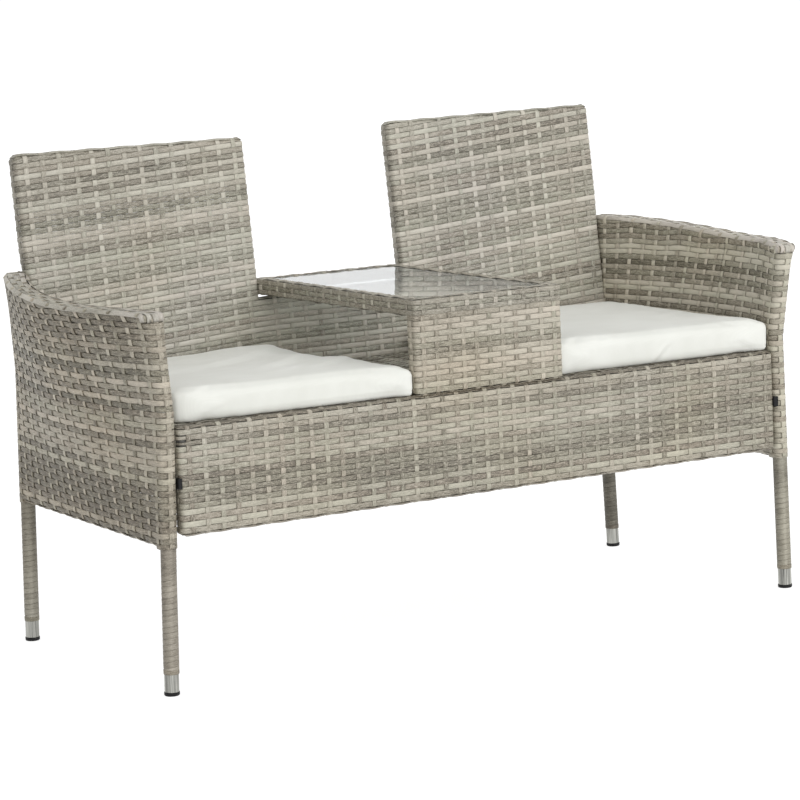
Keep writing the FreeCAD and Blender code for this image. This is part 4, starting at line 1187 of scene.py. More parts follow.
def natural_spline(xs, ys):
    xs, ys = np.array(xs, float), np.array(ys, float)
    n = len(xs)
    h = np.diff(xs)
    A = np.eye(n)
    d = np.zeros(n)
    for i in range(1, n - 1):
        A[i, i - 1], A[i, i], A[i, i + 1] = h[i - 1], 2 * (h[i - 1] + h[i]), h[i]
        d[i] = 6 * ((ys[i + 1] - ys[i]) / h[i] - (ys[i] - ys[i - 1]) / h[i - 1])
    s = np.linalg.solve(A, d)

    def f(x):
        x = np.asarray(x, float)
        i = np.clip(np.searchsorted(xs, x) - 1, 0, n - 2)
        u = x - xs[i]
        v = xs[i + 1] - x
        return ((s[i] * v ** 3 + s[i + 1] * u ** 3) / (6 * h[i]) + (ys[i] / h[i] - s[i] * h[i] / 6) * v
                + (ys[i + 1] / h[i] - s[i + 1] * h[i] / 6) * u)
    return f


FRONT_LEG = [(613.0, -252.0, 6.5), (601.5, -258.0, 455.0), (618.0, -267.8, 600.0)]
REAR_LEG = [(612.5, 286.0, 6.5), (598.0, 286.0, 475.0), (605.0, 286.0, 634.0)]
ARM_Z0, WRAP_R, RAIL_Z, INNER_MIN = 244.3, 13.7, 258.0, 588.6
ARM_Y = [-280.0, -190.0, -90.0, 10.0, 110.0, 210.0, 265.0, 293.0]
arm_top_x = natural_spline(ARM_Y, [637.0, 670.0, 688.0, 693.0, 683.0, 654.0, 632.0, 616.8])
arm_top_z = natural_spline(ARM_Y, [614.0, 617.0, 617.0, 622.0, 630.0, 638.0, 641.0, 641.0])
arm_in_x = natural_spline([-280.0, -268.0, -190.0, -90.0, 10.0, 110.0, 210.0, 262.0, 293.0],
                          [596.0, 600.0, 631.0, 648.5, 654.0, 643.5, 612.0, 593.5, 591.0])


def leg_at(leg, z):
    (x0, y0, z0), (x1, y1, z1), (x2, y2, z2) = leg
    z = np.asarray(z, float)
    t = (z - z0) / (z1 - z0)
    u = (z - z1) / (z2 - z1)
    return (np.where(z <= z1, x0 + t * (x1 - x0), x1 + u * (x2 - x1)),
            np.where(z <= z1, y0 + t * (y1 - y0), y1 + u * (y2 - y1)))


def arm_side(y, z, outer):
    sg = np.where(outer, 1.0, -1.0)

    def top(yy):
        return np.where(outer, arm_top_x(yy), arm_in_x(yy))
    zt = arm_top_z(y)
    t = (z - ARM_Z0) / (zt - ARM_Z0)
    yf = leg_at(FRONT_LEG, np.minimum(z, 600.0))[1]
    yb = 286.0
    s = (y - yf) / (yb - yf)
    f0 = leg_at(FRONT_LEG, ARM_Z0)[0] + sg * WRAP_R
    b0 = leg_at(REAR_LEG, ARM_Z0)[0] + sg * WRAP_R
    f1, b1 = top(yf), top(np.full_like(yf, yb))
    fz = leg_at(FRONT_LEG, np.minimum(z, 600.0))[0] + sg * WRAP_R
    bz = leg_at(REAR_LEG, np.minimum(z, 634.0))[0] + sg * WRAP_R
    fe = leg_at(FRONT_LEG, 600.0)[0] + sg * WRAP_R
    be = leg_at(REAR_LEG, 634.0)[0] + sg * WRAP_R
    tt = np.clip(t, 0, 1.1)
    fz = fz + (f1 - fe) * np.where(outer, tt ** 24, tt ** 6)
    bz = bz + (b1 - be) * tt ** 6
    bot = f0 + s * (b0 - f0)
    bil = (1 - s) * (1 - t) * f0 + s * (1 - t) * b0 + (1 - s) * t * f1 + s * t * b1
    x = (1 - t) * bot + t * top(y) + (1 - s) * fz + s * bz - bil
    clamp = 0.5 * (x + INNER_MIN + np.sqrt((x - INNER_MIN) ** 2 + 4.0))
    return np.where((~np.asarray(outer, bool)) & (y > 190.0), clamp, x)


RHO = 6.0                     # rounding of the arm's top edges


def arm_point(q, z):
    """Point of the arm's woven skin. q 0..1 outer face from the front post to
    the rear one, 1..2 round the rear post, 2..3 inner face, 3..4 front post."""
    q = np.mod(np.asarray(q, float), 4.0)
    z = np.asarray(z, float) + np.zeros_like(q)
    lx, ly = leg_at(FRONT_LEG, np.minimum(z, 600.0))
    yf, yb = ly, 286.0
    out = np.zeros(q.shape + (3,))
    on_out, on_in = q < 1, (q >= 2) & (q < 3)
    f = np.where(on_out, q, np.where(on_in, 3 - q, 0.0))
    y = yf + (yb - yf) * f
    x = arm_side(y, z, on_out | (q < 2))
    # the lower edge turns in under the rail, between the posts
    zc = np.clip(RAIL_Z - z, 0, 13.6)
    inset = 13.7 - np.sqrt(13.7 ** 2 - zc ** 2)
    span = np.minimum(y - yf, yb - y)
    inset = inset * smooth(span, 9.0, 24.0)
    x = x - np.where(on_out, 1.0, -1.0) * inset
    out[..., 0], out[..., 1] = x, y
    for lo, ybase, sgn in ((1.0, yb, 1.0), (3.0, None, -1.0)):
        m = (q >= lo) & (q < lo + 1)
        yy = np.full_like(z, yb) if ybase is not None else yf
        xo = arm_side(yy, z, np.ones_like(m))
        xi = arm_side(yy, z, np.zeros_like(m))
        c, rx = 0.5 * (xo + xi), 0.5 * (xo - xi)
        th = (q - lo) * math.pi
        if sgn > 0:
            px = c + rx * np.cos(th)
            py = yy + WRAP_R * np.sin(th)
        else:
            px = c - rx * np.cos(th)
            py = yy - WRAP_R * np.sin(th)
        out[..., 0] = np.where(m, px, out[..., 0])
        out[..., 1] = np.where(m, py, out[..., 1])
    out[..., 2] = z
    return out


def arm_frame(q, z):
    """Skin point and outward normal."""
    P = arm_point(q, z)
    dq = arm_point(q + 0.004, z) - arm_point(q - 0.004, z)
    dz = arm_point(q, z + 1.5) - arm_point(q, z - 1.5)
    return P, unit(np.cross(dq, dz))


ARM_N = 42                    # crossings round an arm
FACE_L = 552.0
POST_L = 43.0


def q_of(s):
    """q for a nominal distance round the arm from the middle of the front."""
    L = 2 * (FACE_L + POST_L)
    s = np.mod(np.asarray(s, float), L)
    h = POST_L / 2
    q = np.where(s < h, 3.5 + 0.5 * s / h, 0.0)
    q = np.where((s >= h) & (s < h + FACE_L), (s - h) / FACE_L, q)
    q = np.where((s >= h + FACE_L) & (s < 3 * h + FACE_L), 1 + (s - h - FACE_L) / (2 * h), q)
    q = np.where((s >= 3 * h + FACE_L) & (s < 3 * h + 2 * FACE_L), 2 + (s - 3 * h - FACE_L) / FACE_L, q)
    q = np.where(s >= 3 * h + 2 * FACE_L, 3 + 0.5 * (s - 3 * h - 2 * FACE_L) / h, q)
    return q


def face_y(q, z):
    q = np.mod(q, 4.0)
    yf = leg_at(FRONT_LEG, np.minimum(z, 600.0))[1]
    f = np.where(q < 1, q, np.where(q < 2, 1.0, np.where(q < 3, 3 - q, 0.0)))
    return yf + (286.0 - yf) * f


ROW_P = 9.45
Z_FIRST = 264.2
Z_BASE = Z_FIRST - 0.5 * ROW_P + ROW_P * 30      # below this rows are level


def top_rows(y):
    """Heights and widths (as shares of the pitch) of the rows between Z_BASE
    and the rounding of the top edge at y."""
    h = float(arm_top_z(y)) - RHO + 1.0 - Z_BASE
    nf = h / ROW_P
    base = math.floor(nf)
    frac = nf - base
    grow = float(smooth(frac, 0.30, 0.95))
    N = base + grow
    p = h / N
    return base, grow, p


def arm_row_z(j, y):
    """Height and width of row j (from Z_BASE up) at y; width 0 where the row
    has run out."""
    base, grow, p = top_rows(y)
    if j < base:
        return Z_BASE + (j + 0.5) * p, p
    if j == base and grow > 0.12:
        return Z_BASE + (base + 0.5 * grow) * p, p * grow
    return Z_BASE + (base + 0.5 * grow) * p, 0.0


def top_path(y, side_f):
    """Lengthwise line on the arm's top at y: side_f -2..2 from the outer edge
    to the inner one. Gives point, normal and row width."""
    xo, xi, zt = float(arm_top_x(y)), float(arm_in_x(y)), float(arm_top_z(y))
    flat = xo - xi - 2 * RHO
    if side_f in (-2, 2):
        s = 1.0 if side_f == -2 else -1.0
        c = (xo - RHO) if s > 0 else (xi + RHO)
        n = np.array([s * math.sin(math.radians(48)), 0, math.cos(math.radians(48))])
        return np.array([c, y, zt - RHO]) + RHO * n, n, 8.9
    w1 = min(9.3, flat / 2.0)
    w2 = flat - 2 * w1
    x0 = xo - RHO
    if side_f == -1:
        x, w = x0 - w1 / 2, w1
    elif side_f == 1:
        x, w = xi + RHO + w1 / 2, w1
    else:
        x, w = x0 - w1 - w2 / 2, w2
    return np.array([x, y, zt]), np.array([0, 0, 1.0]), w


def build_arm(sgn, name):
    out = Strips(name, 0.6 if sgn > 0 else 0.8)
    flip = (lambda co: co * np.array([-1.0, 1.0, 1.0])) if sgn < 0 else None

    # Each arm's tone scale is partly painted light: the right arm's strips get a steeper scale, which lightens them
    # against the shade on its inner face, and the left arm's a darker one for the weaker light on its outer face; the
    # rest is the strips' own contrast.
    light_tone_map = (0.0, 1.3) if sgn > 0 else (-0.05, 0.97)

    def add(P, N, w, tone, **kw):
        # the lower edge drops a little towards the front post
        P = np.array(P, float)
        f = np.clip((286.0 - P[:, 1]) / 542.0, 0, 1)
        P[:, 2] -= 6.4 * f * np.clip((500.0 - P[:, 2]) / 256.0, 0, 1) * smooth(P[:, 2], 196.0, 243.0)
        # and the strips round the front post are lighter
        tone = np.clip(light_tone_map[0] + light_tone_map[1] * np.asarray(tone, float), 0, 1)
        # painted shade: the left arm's lower part is darker, for the weaker light from below
        if sgn < 0:
            tone = np.clip(tone - 0.1 * smooth(P[:, 2], 236.0, 250.0) * (1 - smooth(P[:, 2], 300.0, 390.0)), 0, 1)
        tone = tone + 0.28 * (0.9 - tone) * smooth(-P[:, 1], 232.0, 262.0) * smooth(P[:, 2], 236.0, 250.0)
        # a mirrored strip keeps its faces outward by running the other way
        if sgn < 0:
            P, N = P * np.array([-1.0, 1, 1]), N * np.array([-1.0, 1, 1])
        out.add(P, N, w, tone, **kw)
    L = 2 * (FACE_L + POST_L)
    cs = np.arange(ARM_N) * L / ARM_N
    c_all = np.concatenate([cs - L, cs, cs + L])
    base_par = np.array([1.0 if i % 2 == 0 else -1.0 for i in range(ARM_N)] * 3)
    posts = []
    h = POST_L / 2
    for c0 in (0.0, h + FACE_L + h):
        posts += [c0 + d for d in (-21.5, -16, -11, -5.5, 0, 5.5, 11, 16, 21.5)]
    posts = np.array(posts)
    posts = np.concatenate([posts - L, posts, posts + L])
    rows = []                  # (k, z) level rows
    rows.append((-2, 247.4))
    rows.append((-1, 255.4))
    for k in range(30):
        rows.append((k, Z_FIRST + ROW_P * k))
    pat = ARM_TONES_R if sgn > 0 else ARM_TONES_L
    amp = 0.9
    s_start = 3 * h + 1.62 * FACE_L
    for idx, (k, z) in enumerate(rows):
        S = stations(c_all[(c_all > s_start - 30) & (c_all < s_start + L + 30)], s_start, s_start + L,
                     extra=posts[(posts > s_start) & (posts < s_start + L)])
        P, N = arm_frame(q_of(S), np.full_like(S, z))
        par = base_par * (-1.0 if k % 2 == 0 else 1.0)
        off = swing(S, c_all, par, amp=amp)
        tone = along_tone(row_tone(pat[min(7 + len(rows) - 1 - idx, len(pat) - 1)]), idx, 70 + sgn, axis=1, amount=0.11)(P)
        wr = (ROW_P - 0.3) * (1 + 0.026 * np.clip((286.0 - P[:, 1]) / 542.0, 0, 1)) if k >= 0 else 8.4
        add(P + N * off[:, None], N, wr, tone)
    # one row along the bottom edge, between the posts
    ys = np.array([float(face_y(np.array([q]), np.array([250.0]))[0]) for q in q_of(cs[1:ARM_N // 2])])
    S = stations(ys, -240.0, 270.0)
    fx, fy = leg_at(FRONT_LEG, RAIL_Z)
    bx, by = leg_at(REAR_LEG, RAIL_Z)
    xx = fx + (bx - fx) * (S - fy) / (by - fy)
    P = np.stack([xx, S, np.full_like(S, ARM_Z0)], -1)
    N = np.tile([0, 0, -1.0], (len(S), 1))
    sg = np.array([-1.0 if i % 2 == 0 else 1.0 for i in range(1, ARM_N // 2)]) * -1
    add(P + N * swing(S, ys, sg)[:, None], N, 8.6, 0.5)

    # rows above: they follow the rising top edge and run out under it
    n_top = max(top_rows(y)[0] for y in (250.0, 285.0)) + 2
    for j in range(n_top):
        k = 30 + j
        par = base_par * (-1.0 if k % 2 == 0 else 1.0)
        for lo, hi in ((s_start, s_start + L),):
            dense = np.arange(lo, hi + 1e-6, 3.0)
            qd = q_of(dense)
            yd = face_y(qd, np.full_like(qd, 600.0))
            zw = np.array([arm_row_z(j, y) for y in np.maximum(yd, -262.0)])
            ok = zw[:, 1] > 1.2
            # round the front post only while the row is under the bend
            front = (qd > 3.02) & (qd < 3.98)
            ok &= ~(front & (zw[:, 0] > 602.0))
            i = 0
            while i < len(ok):
                if not ok[i]:
                    i += 1
                    continue
                e = i
                while e + 1 < len(ok) and ok[e + 1]:
                    e += 1
                if dense[e] - dense[i] > 20:
                    a, b = dense[i], dense[e]
                    S = stations(c_all[(c_all > a - 30) & (c_all < b + 30)], a, b, extra=posts[(posts > a) & (posts < b)])
                    q = q_of(S)
                    y = face_y(q, np.full_like(q, 600.0))
                    zz = np.array([arm_row_z(j, v) for v in np.maximum(y, -262.0)])
                    P, N = arm_frame(q, zz[:, 0])
                    off = swing(S, c_all, par, amp=amp) + tuck(S, a, b, i > 0, e < len(ok) - 1)
                    tone = along_tone(row_tone(pat[max(6 - j, 0)]), j + 40, 70 + sgn, axis=1, amount=0.11)(P)
                    add(P + N * off[:, None], N, np.maximum(zz[:, 1] - 0.3, 1.0), tone)
                i = e + 1

    # strips lengthwise along the top, bent down at both ends
    col_q = q_of(cs)
    for side_f in (-2, -1, 0, 1, 2):
        f = {-2: 0.93, -1: 0.5, 0: 0.0, 1: -0.5, 2: -0.93}[side_f]
        Rf = 2.5 + 5.5 * math.sqrt(1 - f * f)
        yfz = -267.6 - WRAP_R * math.sqrt(1 - f * f)
        yc = yfz + Rf
        ylist = [float(face_y(np.array([q]), np.array([610.0]))[0]) for q in col_q[1:ARM_N // 2]]
        y_end = 293.5 if abs(f) < 0.9 else 289.0
        S = stations(np.array(ylist), yc, y_end)
        sg = np.array([1.0 if (i + side_f) % 2 == 0 else -1.0 for i in range(1, ARM_N // 2)])
        P, N, W, O = [], [], [], []
        # front bend, from below up
        zt0 = float(arm_top_z(yc))
        p_top, n_top_, w_top = top_path(yc, side_f)
        for ang in np.linspace(180, 90, 7):
            ca, sa = math.cos(math.radians(ang)), math.sin(math.radians(ang))
            hz = Rf * (1 - sa)
            x_here = p_top[0]
            # keep to the leaning post
            x_here += -0.114 * hz
            n = np.array([n_top_[0], ca * (1 - abs(n_top_[0]) * 0.6), sa * n_top_[2]])
            p = np.array([x_here, yc + Rf * ca, p_top[2] - hz])
            P.append(p)
            N.append(n)
            W.append(w_top)
            O.append(-0.2)
        p = P[0] + np.array([-0.8, 0.6, -6.0])
        P.insert(0, p)
        N.insert(0, N[0])
        W.insert(0, w_top)
        O.insert(0, -1.6)
        offs = swing(S, np.array(ylist), sg)
        for y, o in zip(S[1:], offs[1:]):
            p, n, w = top_path(y, side_f)
            P.append(p)
            N.append(n)
            W.append(w)
            O.append(o)
        # rear bend
        pe, ne, we = top_path(y_end, side_f)
        for ang in (60, 30, 0):
            ca, sa = math.cos(math.radians(ang)), math.sin(math.radians(ang))
            P.append(pe + np.array([0, 5.0 * ca, -5.0 * (1 - sa)]))
            N.append(np.array([ne[0], ca, sa * max(ne[2], 0.3)]))
            W.append(we)
            O.append(0.0)
        P.append(P[-1] + np.array([0, -0.6, -7.0]))
        N.append(N[-1])
        W.append(we)
        O.append(-1.2)
        P, N, W, O = np.array(P), unit(np.array(N)), np.array(W), np.array(O)
        ok = W > 2.4
        if side_f == 0:
            last = len(ok) - 1 if ok.all() else int(np.argmin(ok[8:])) + 8
            P, N, W, O = P[:last], N[:last], W[:last], O[:last]
            O[-1] = -1.6
        # painted sheen: the strips along the top get light tones and a cold grey lean (warm=-0.6) for the sky's
        # reflection on the top
        tone = row_tone({-2: 0.8, -1: 0.74, 0: 0.7, 1: 0.72, 2: 0.74}[side_f]) + 0.14 * drift(P[:, 1] / 55.0, side_f * 1.7, 63)
        add(P + N * O[:, None], N, np.maximum(W - 0.3, 1.0), tone, warm=-0.6)

    # strips close together over the front corner, under the lengthwise ones
    yb_ = -272.0
    xo, xi, zt0 = float(arm_top_x(yb_)), float(arm_in_x(yb_)), float(arm_top_z(yb_))
    cx, hw = 0.5 * (xo + xi), 0.5 * (xo - xi) - 0.6
    for m, f in enumerate(np.linspace(-0.97, 0.97, 9)):
        e = math.sqrt(max(1 - f * f, 0.0))
        Rf = 2.5 + 5.5 * e
        yc = -267.6 - WRAP_R * e + Rf
        d = max(abs(f * hw) - (hw - RHO), 0.0)
        drop = RHO - math.sqrt(max(RHO * RHO - d * d, 0.0))
        tilt = min(d / RHO, 0.95) * (1 if f > 0 else -1)
        P, N = [], []
        for ang in np.linspace(180, 90, 6):
            ca, sa = math.cos(math.radians(ang)), math.sin(math.radians(ang))
            hz = Rf * (1 - sa)
            P.append((cx + f * hw - 0.114 * hz, yc + Rf * ca, zt0 - hz - drop))
            N.append((tilt, ca, sa))
        P.insert(0, (P[0][0] - 0.8, P[0][1] + 0.3, P[0][2] - 6.0))
        N.insert(0, N[0])
        P.append((P[-1][0], yc + 14.0, P[-1][2]))
        N.append((tilt, 0.0, 1.0))
        P, N = np.array(P), unit(np.array(N))
        add(P - 1.5 * N, N, 6.4, 0.55 if m % 2 else 0.72, thick=0.8)

    # upright strips: up the outer face, over the top, down the inner face
    for i in range(0, ARM_N // 2 + 1):
        q = float(q_of(np.array([cs[i] if i < ARM_N else 0.0]))[0])
        wt = [0.85, 0.6, 0.9, 0.5, 0.82, 0.66, 0.88, 0.42, 0.8, 0.5, 0.86, 0.62, 0.9, 0.46, 0.7, 0.84, 0.55, 0.88, 0.5, 0.8, 0.6, 0.85][i % 22]
        ci = 1.0 if i % 2 == 0 else -1.0
        if i in (0, ARM_N // 2):
            zs = np.array([z for _, z in rows])
            ks = [k for k, _ in rows]
            yy = float(face_y(np.array([q]), np.array([600.0]))[0])
            j = 0
            while True:
                zz, ww = arm_row_z(j, max(yy, -262.0))
                if ww < 4 or (i == 0 and zz > 600):
                    break
                zs = np.append(zs, zz)
                ks.append(30 + j)
                j += 1
            sg = np.array([ci * (1.0 if k % 2 == 0 else -1.0) for k in ks])
            z_hi = 601.0 if i == 0 else 634.0
            S = stations(zs, 245.0, z_hi, hw=3.0, mid=False)
            P, N = arm_frame(np.full_like(S, q), S)
            off = swing(S, zs, sg, hw=3.0, amp=0.9) + tuck(S, 245.0, z_hi, True, True, depth=1.2, run=6)
            add(P + N * off[:, None], N, 8.7, row_tone(0.6))
            continue
        y_at = float(face_y(np.array([q]), np.array([600.0]))[0])
        # crossings along this strip: outer face, top rows, inner face
        zs = [z for _, z in rows]
        ks = [k for k, _ in rows]
        j = 0
        while True:
            zz, ww = arm_row_z(j, max(y_at, -262.0))
            if ww < 4:
                break
            zs.append(zz)
            ks.append(30 + j)
            j += 1
        zt = float(arm_top_z(y_at))
        z_edge = zt - RHO
        P, N, O = [], [], []
        ss = stations(np.array(zs), 245.0, z_edge, hw=3.0, mid=False)
        sgf = np.array([ci * (1.0 if k % 2 == 0 else -1.0) for k in ks])
        Po, No = arm_frame(np.full_like(ss, q), ss)
        Oo = swing(ss, np.array(zs), sgf, hw=3.0, amp=amp)
        Pi, Ni = arm_frame(np.full_like(ss, 3.0 - q), ss)
        xo, xi = float(arm_top_x(y_at)), float(arm_in_x(y_at))
        yo = float(Po[-1, 1])
        top_pts = []
        for ang in (20, 48, 76):
            n = np.array([math.cos(math.radians(ang)), 0, math.sin(math.radians(ang))])
            top_pts.append((np.array([xo - RHO, yo, z_edge]) + RHO * n, n, -2))
        flat = xo - xi - 2 * RHO
        w1 = min(9.3, flat / 2.0)
        w2 = flat - 2 * w1
        marks = [(xo - RHO - w1 / 2, -1)]
        if w2 > 2.4:
            marks.append((xo - RHO - w1 - w2 / 2, 0))
        marks.append((xi + RHO + w1 / 2, 1))
        for x, sf in marks:
            for dx in (2.6, -2.6) if w2 > 2.4 else (1.8, -1.8):
                top_pts.append((np.array([x + dx, yo, zt]), np.array([0, 0, 1.0]), sf))
        for ang in (104, 132, 160):
            n = np.array([math.cos(math.radians(ang)), 0, math.sin(math.radians(ang))])
            top_pts.append((np.array([xi + RHO, yo, z_edge]) + RHO * n, n, 2))
        P = list(Po) + [p for p, _, _ in top_pts] + list(Pi[::-1])
        N = list(No) + [n for _, n, _ in top_pts] + list(Ni[::-1])
        to = []
        for _, _, sf in top_pts:
            to.append(-AMP if (i + sf) % 2 == 0 else AMP)
        O = list(Oo) + to + list(Oo[::-1])
        P, N, O = np.array(P), unit(np.array(N)), np.array(O)
        add(P + N * O[:, None], N, 8.7, row_tone(wt))
    # spiral wraps down the two legs
    for leg in (FRONT_LEG, REAR_LEG):
        z0, z1 = 36.0, 256.0
        pitch = 9.4
        turns = (z1 - z0 - pitch) / pitch
        n = int(turns * 16)
        u = np.linspace(0, 1, n + 1)
        th = u * turns * 2 * math.pi * sgn
        z = z0 + pitch / 2 + (z1 - z0 - pitch) * u
        lx, ly = leg_at(leg, z)
        r = 12.5
        P = np.stack([lx + r * np.cos(th), ly + r * np.sin(th), z], -1)
        N = np.stack([np.cos(th), np.sin(th), np.zeros_like(z)], -1)
        # painted shadow: the right arm's rear leg gets a much darker tone, for the bench's shadow on it
        base = (-0.22 if (leg is REAR_LEG and sgn > 0) else 0.3 if sgn > 0 else 0.37) - light_tone_map[0]
        # painted groove shade: on most turns it stays narrow, on a few it reaches further across the strip and leaves a
        # dark line
        turn = np.floor(u * turns).astype(int)
        groove_shade_reach = np.where(np.random.default_rng(9 if sgn > 0 else 12).random(turn.max() + 2) < 0.22, 1.15, 0.9)
        # painted highlight: a paler line runs down the side turned outward and forward, and painted shade darkens the
        # side turned away
        face = np.cos(th) * (-0.42 * sgn) - 0.91 * np.sin(th)
        line = 0.16 * smooth(face, 0.93, 0.995) - 0.1 * (1 - smooth(face, 0.1, 0.7))
        add(P, N, 9.35, base + 0.1 * drift(z / 30.0, 0.0, 61) + line, thick=0.6, across=groove_shade_reach[turn], warm=0.0, grain=0.45)
        # a flat ring closes the spiral's lower end
        th = np.linspace(0, 2 * math.pi, 21)
        lx, ly = leg_at(leg, 38.5)
        P = np.stack([lx + 12.5 * np.cos(th), ly + 12.5 * np.sin(th), np.full_like(th, 39.0)], -1)
        N = np.stack([np.cos(th), np.sin(th), np.zeros_like(th)], -1)
        add(P, N, 8.0, base - 0.05, thick=0.9, grain=0.6)
    pre = "right" if sgn > 0 else "left"
    out.build(WOVEN, nodes=(pre + "_arm_outer_weave", pre + "_arm_inner_weave", pre + "_arm_edge_wrap"))


# ------------------------------------------------------------------ cushions
# The pads' covers are loose: height of the top above the seat in mm, over
# x (-1 left, 1 right) and y (-1 front, 1 back), read along their outlines.
def lift_left(u, v):
    front = 53.5 + 3.5 * smooth(-u, 0.3, 1.0) - 3.0 * smooth(u, 0.4, 1.0)
    rear = 45.0 + 6.5 * smooth(u, 0.2, 0.7) - 1.5 * smooth(-u, 0.0, 1.0)
    t = smooth(v, -1.0, 1.0)
    h = front + (rear - front) * t + 4.0 * (1 - v * v) * (1 - u * u)
    dip = smooth(u, 0.45, 1.0) * np.exp(-((v - 0.3) / 0.42) ** 2)
    return h - 8.5 * dip


def lift_right(u, v):
    front = 57.0 + 3.5 * smooth(-u, 0.0, 1.0) - 1.0 * smooth(u, 0.4, 1.0)
    rear = 56.0 + 2.0 * np.exp(-((u + 0.2) / 0.4) ** 2)
    t = smooth(v, -1.0, 1.0)
    return front + (rear - front) * t + 2.5 * (1 - v * v) * (1 - u * u)


# folds of the cover: centre (mm from the pad's middle), heading in degrees,
# half length, half width, height
FOLDS_L = [(100, -22, 225, 120, 17, 2.3), (138, -102, 222, 100, 13, 1.7), (70, 78, 212, 120, 20, 1.9),
           (30, -140, 214, 80, 15, 1.0), (-60, 20, 205, 120, 26, 1.2), (150, 150, 235, 70, 18, 1.6),
           (-90, 130, 190, 110, 24, 1.0)]
FOLDS_R = [(-120, 60, 205, 120, 26, 0.9), (60, 120, 215, 110, 28, 0.8), (140, -60, 225, 90, 20, 0.8),
           (-20, -120, 200, 100, 24, 0.6)]


def cushion(name, node, body, seed, lift, folds, front_y, radii, crease=None, over=-0.0008):
    """A boxed foam seat pad in a loose cover, which reaches a little over the
    pad's right end."""
    lo, hi = [np.array(v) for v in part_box(node)]
    a = lo + np.array([0.003, 0.004, 0.0006])
    b = hi - np.array([0.003, 0.004, 0.007])
    nx, ny, nz = 22, 26, 4
    verts, faces, index = [], [], {}

    def vid(i, j, k):
        key = (i, j, k)
        if key not in index:
            index[key] = len(verts)
            verts.append([a[0] + (b[0] - a[0]) * i / nx, a[1] + (b[1] - a[1]) * j / ny, a[2] + (b[2] - a[2]) * k / nz])
        return index[key]
    for i in range(nx):
        for j in range(ny):
            faces.append((vid(i, j, 0), vid(i, j + 1, 0), vid(i + 1, j + 1, 0), vid(i + 1, j, 0)))
            faces.append((vid(i, j, nz), vid(i + 1, j, nz), vid(i + 1, j + 1, nz), vid(i, j + 1, nz)))
    for i in range(nx):
        for k in range(nz):
            faces.append((vid(i, 0, k), vid(i + 1, 0, k), vid(i + 1, 0, k + 1), vid(i, 0, k + 1)))
            faces.append((vid(i, ny, k), vid(i, ny, k + 1), vid(i + 1, ny, k + 1), vid(i + 1, ny, k)))
    for j in range(ny):
        for k in range(nz):
            faces.append((vid(0, j, k), vid(0, j, k + 1), vid(0, j + 1, k + 1), vid(0, j + 1, k)))
            faces.append((vid(nx, j, k), vid(nx, j + 1, k), vid(nx, j + 1, k + 1), vid(nx, j, k + 1)))
    co = np.array(verts)
    c = 0.5 * (a + b)
    half = 0.5 * (b - a)
    for sx in (-1, 1):
        for sy in (-1, 1):
            r = radii[(sx, sy)] / 1000.0
            cx, cy = c[0] + sx * (half[0] - r), c[1] + sy * (half[1] - r)
            u, v = (co[:, 0] - cx) * sx / r, (co[:, 1] - cy) * sy / r
            m = (u > 0) & (v > 0)
            u2 = u * np.sqrt(np.clip(1 - v * v / 2, 0, 1))
            v2 = v * np.sqrt(np.clip(1 - u * u / 2, 0, 1))
            co[:, 0] = np.where(m, cx + sx * r * u2, co[:, 0])
            co[:, 1] = np.where(m, cy + sy * r * v2, co[:, 1])
    me = bpy.data.meshes.new(name)
    me.from_pydata([tuple(p) for p in co], [], faces)
    me.update()
    ob = bpy.data.objects.new(name, me)
    bpy.context.scene.collection.objects.link(ob)
    for o in bpy.context.selected_objects:
        o.select_set(False)
    bpy.context.view_layer.objects.active = ob
    ob.select_set(True)
    bev = ob.modifiers.new("soft", "BEVEL")
    bev.width = 0.006
    bev.segments = 3
    bev.limit_method = "ANGLE"
    bev.angle_limit = math.radians(50)
    bpy.ops.object.modifier_apply(modifier=bev.name)
    rm = ob.modifiers.new("even", "REMESH")
    rm.mode = "VOXEL"
    rm.voxel_size = 0.0054
    rm.adaptivity = 0.0
    bpy.ops.object.modifier_apply(modifier=rm.name)
    me = ob.data
    n = len(me.vertices)
    rest = np.empty(n * 3, np.float32)
    me.vertices.foreach_get("co", rest)
    rest = rest.reshape(-1, 3).astype(float)
    cl = ob.modifiers.new("cloth", "CLOTH")
    st = cl.settings
    st.quality = 5
    st.mass = 0.3
    st.use_pressure = True
    st.uniform_pressure_force = 4.0
    st.tension_stiffness = 12
    st.compression_stiffness = 12
    st.shear_stiffness = 4
    st.bending_stiffness = 0.35
    st.effector_weights.gravity = 0.0
    cl.collision_settings.use_collision = False
    cl.collision_settings.use_self_collision = False
    cl.point_cache.frame_start = 1
    cl.point_cache.frame_end = 20
    sc = bpy.context.scene
    for f in range(1, 18):
        sc.frame_set(f)
    dg = bpy.context.evaluated_depsgraph_get()
    ev = ob.evaluated_get(dg)
    co = np.empty(n * 3, np.float32)
    ev.data.vertices.foreach_get("co", co)
    co = co.reshape(-1, 3).astype(float)
    ob.modifiers.remove(cl)
    sc.frame_set(1)
    mv = co - rest
    ln = np.linalg.norm(mv, axis=1, keepdims=True)
    mv *= np.minimum(1.0, 0.0075 / np.maximum(ln, 1e-9))
    # the foam holds the upright corners out
    kc = smooth(np.abs(rest[:, 0] - c[0]) / half[0], 0.86, 0.97) * smooth(np.abs(rest[:, 1] - c[1]) / half[1], 0.86, 0.97)
    mv[:, :2] *= (1 - 0.8 * kc)[:, None]
    co = rest + mv
    # the cover fills its place from side to side
    mid = (np.abs(co[:, 2] - c[2]) < 0.008) & (np.abs(co[:, 1] - c[1]) < 0.8 * half[1])
    for sx, edge in ((1.0, hi[0] + over), (-1.0, lo[0] + 0.0008)):
        reach = (co[mid, 0] * sx).max() * sx
        co[:, 0] += (edge - reach) * smooth((co[:, 0] - c[0]) * sx / half[0], 0.3, 1.0)
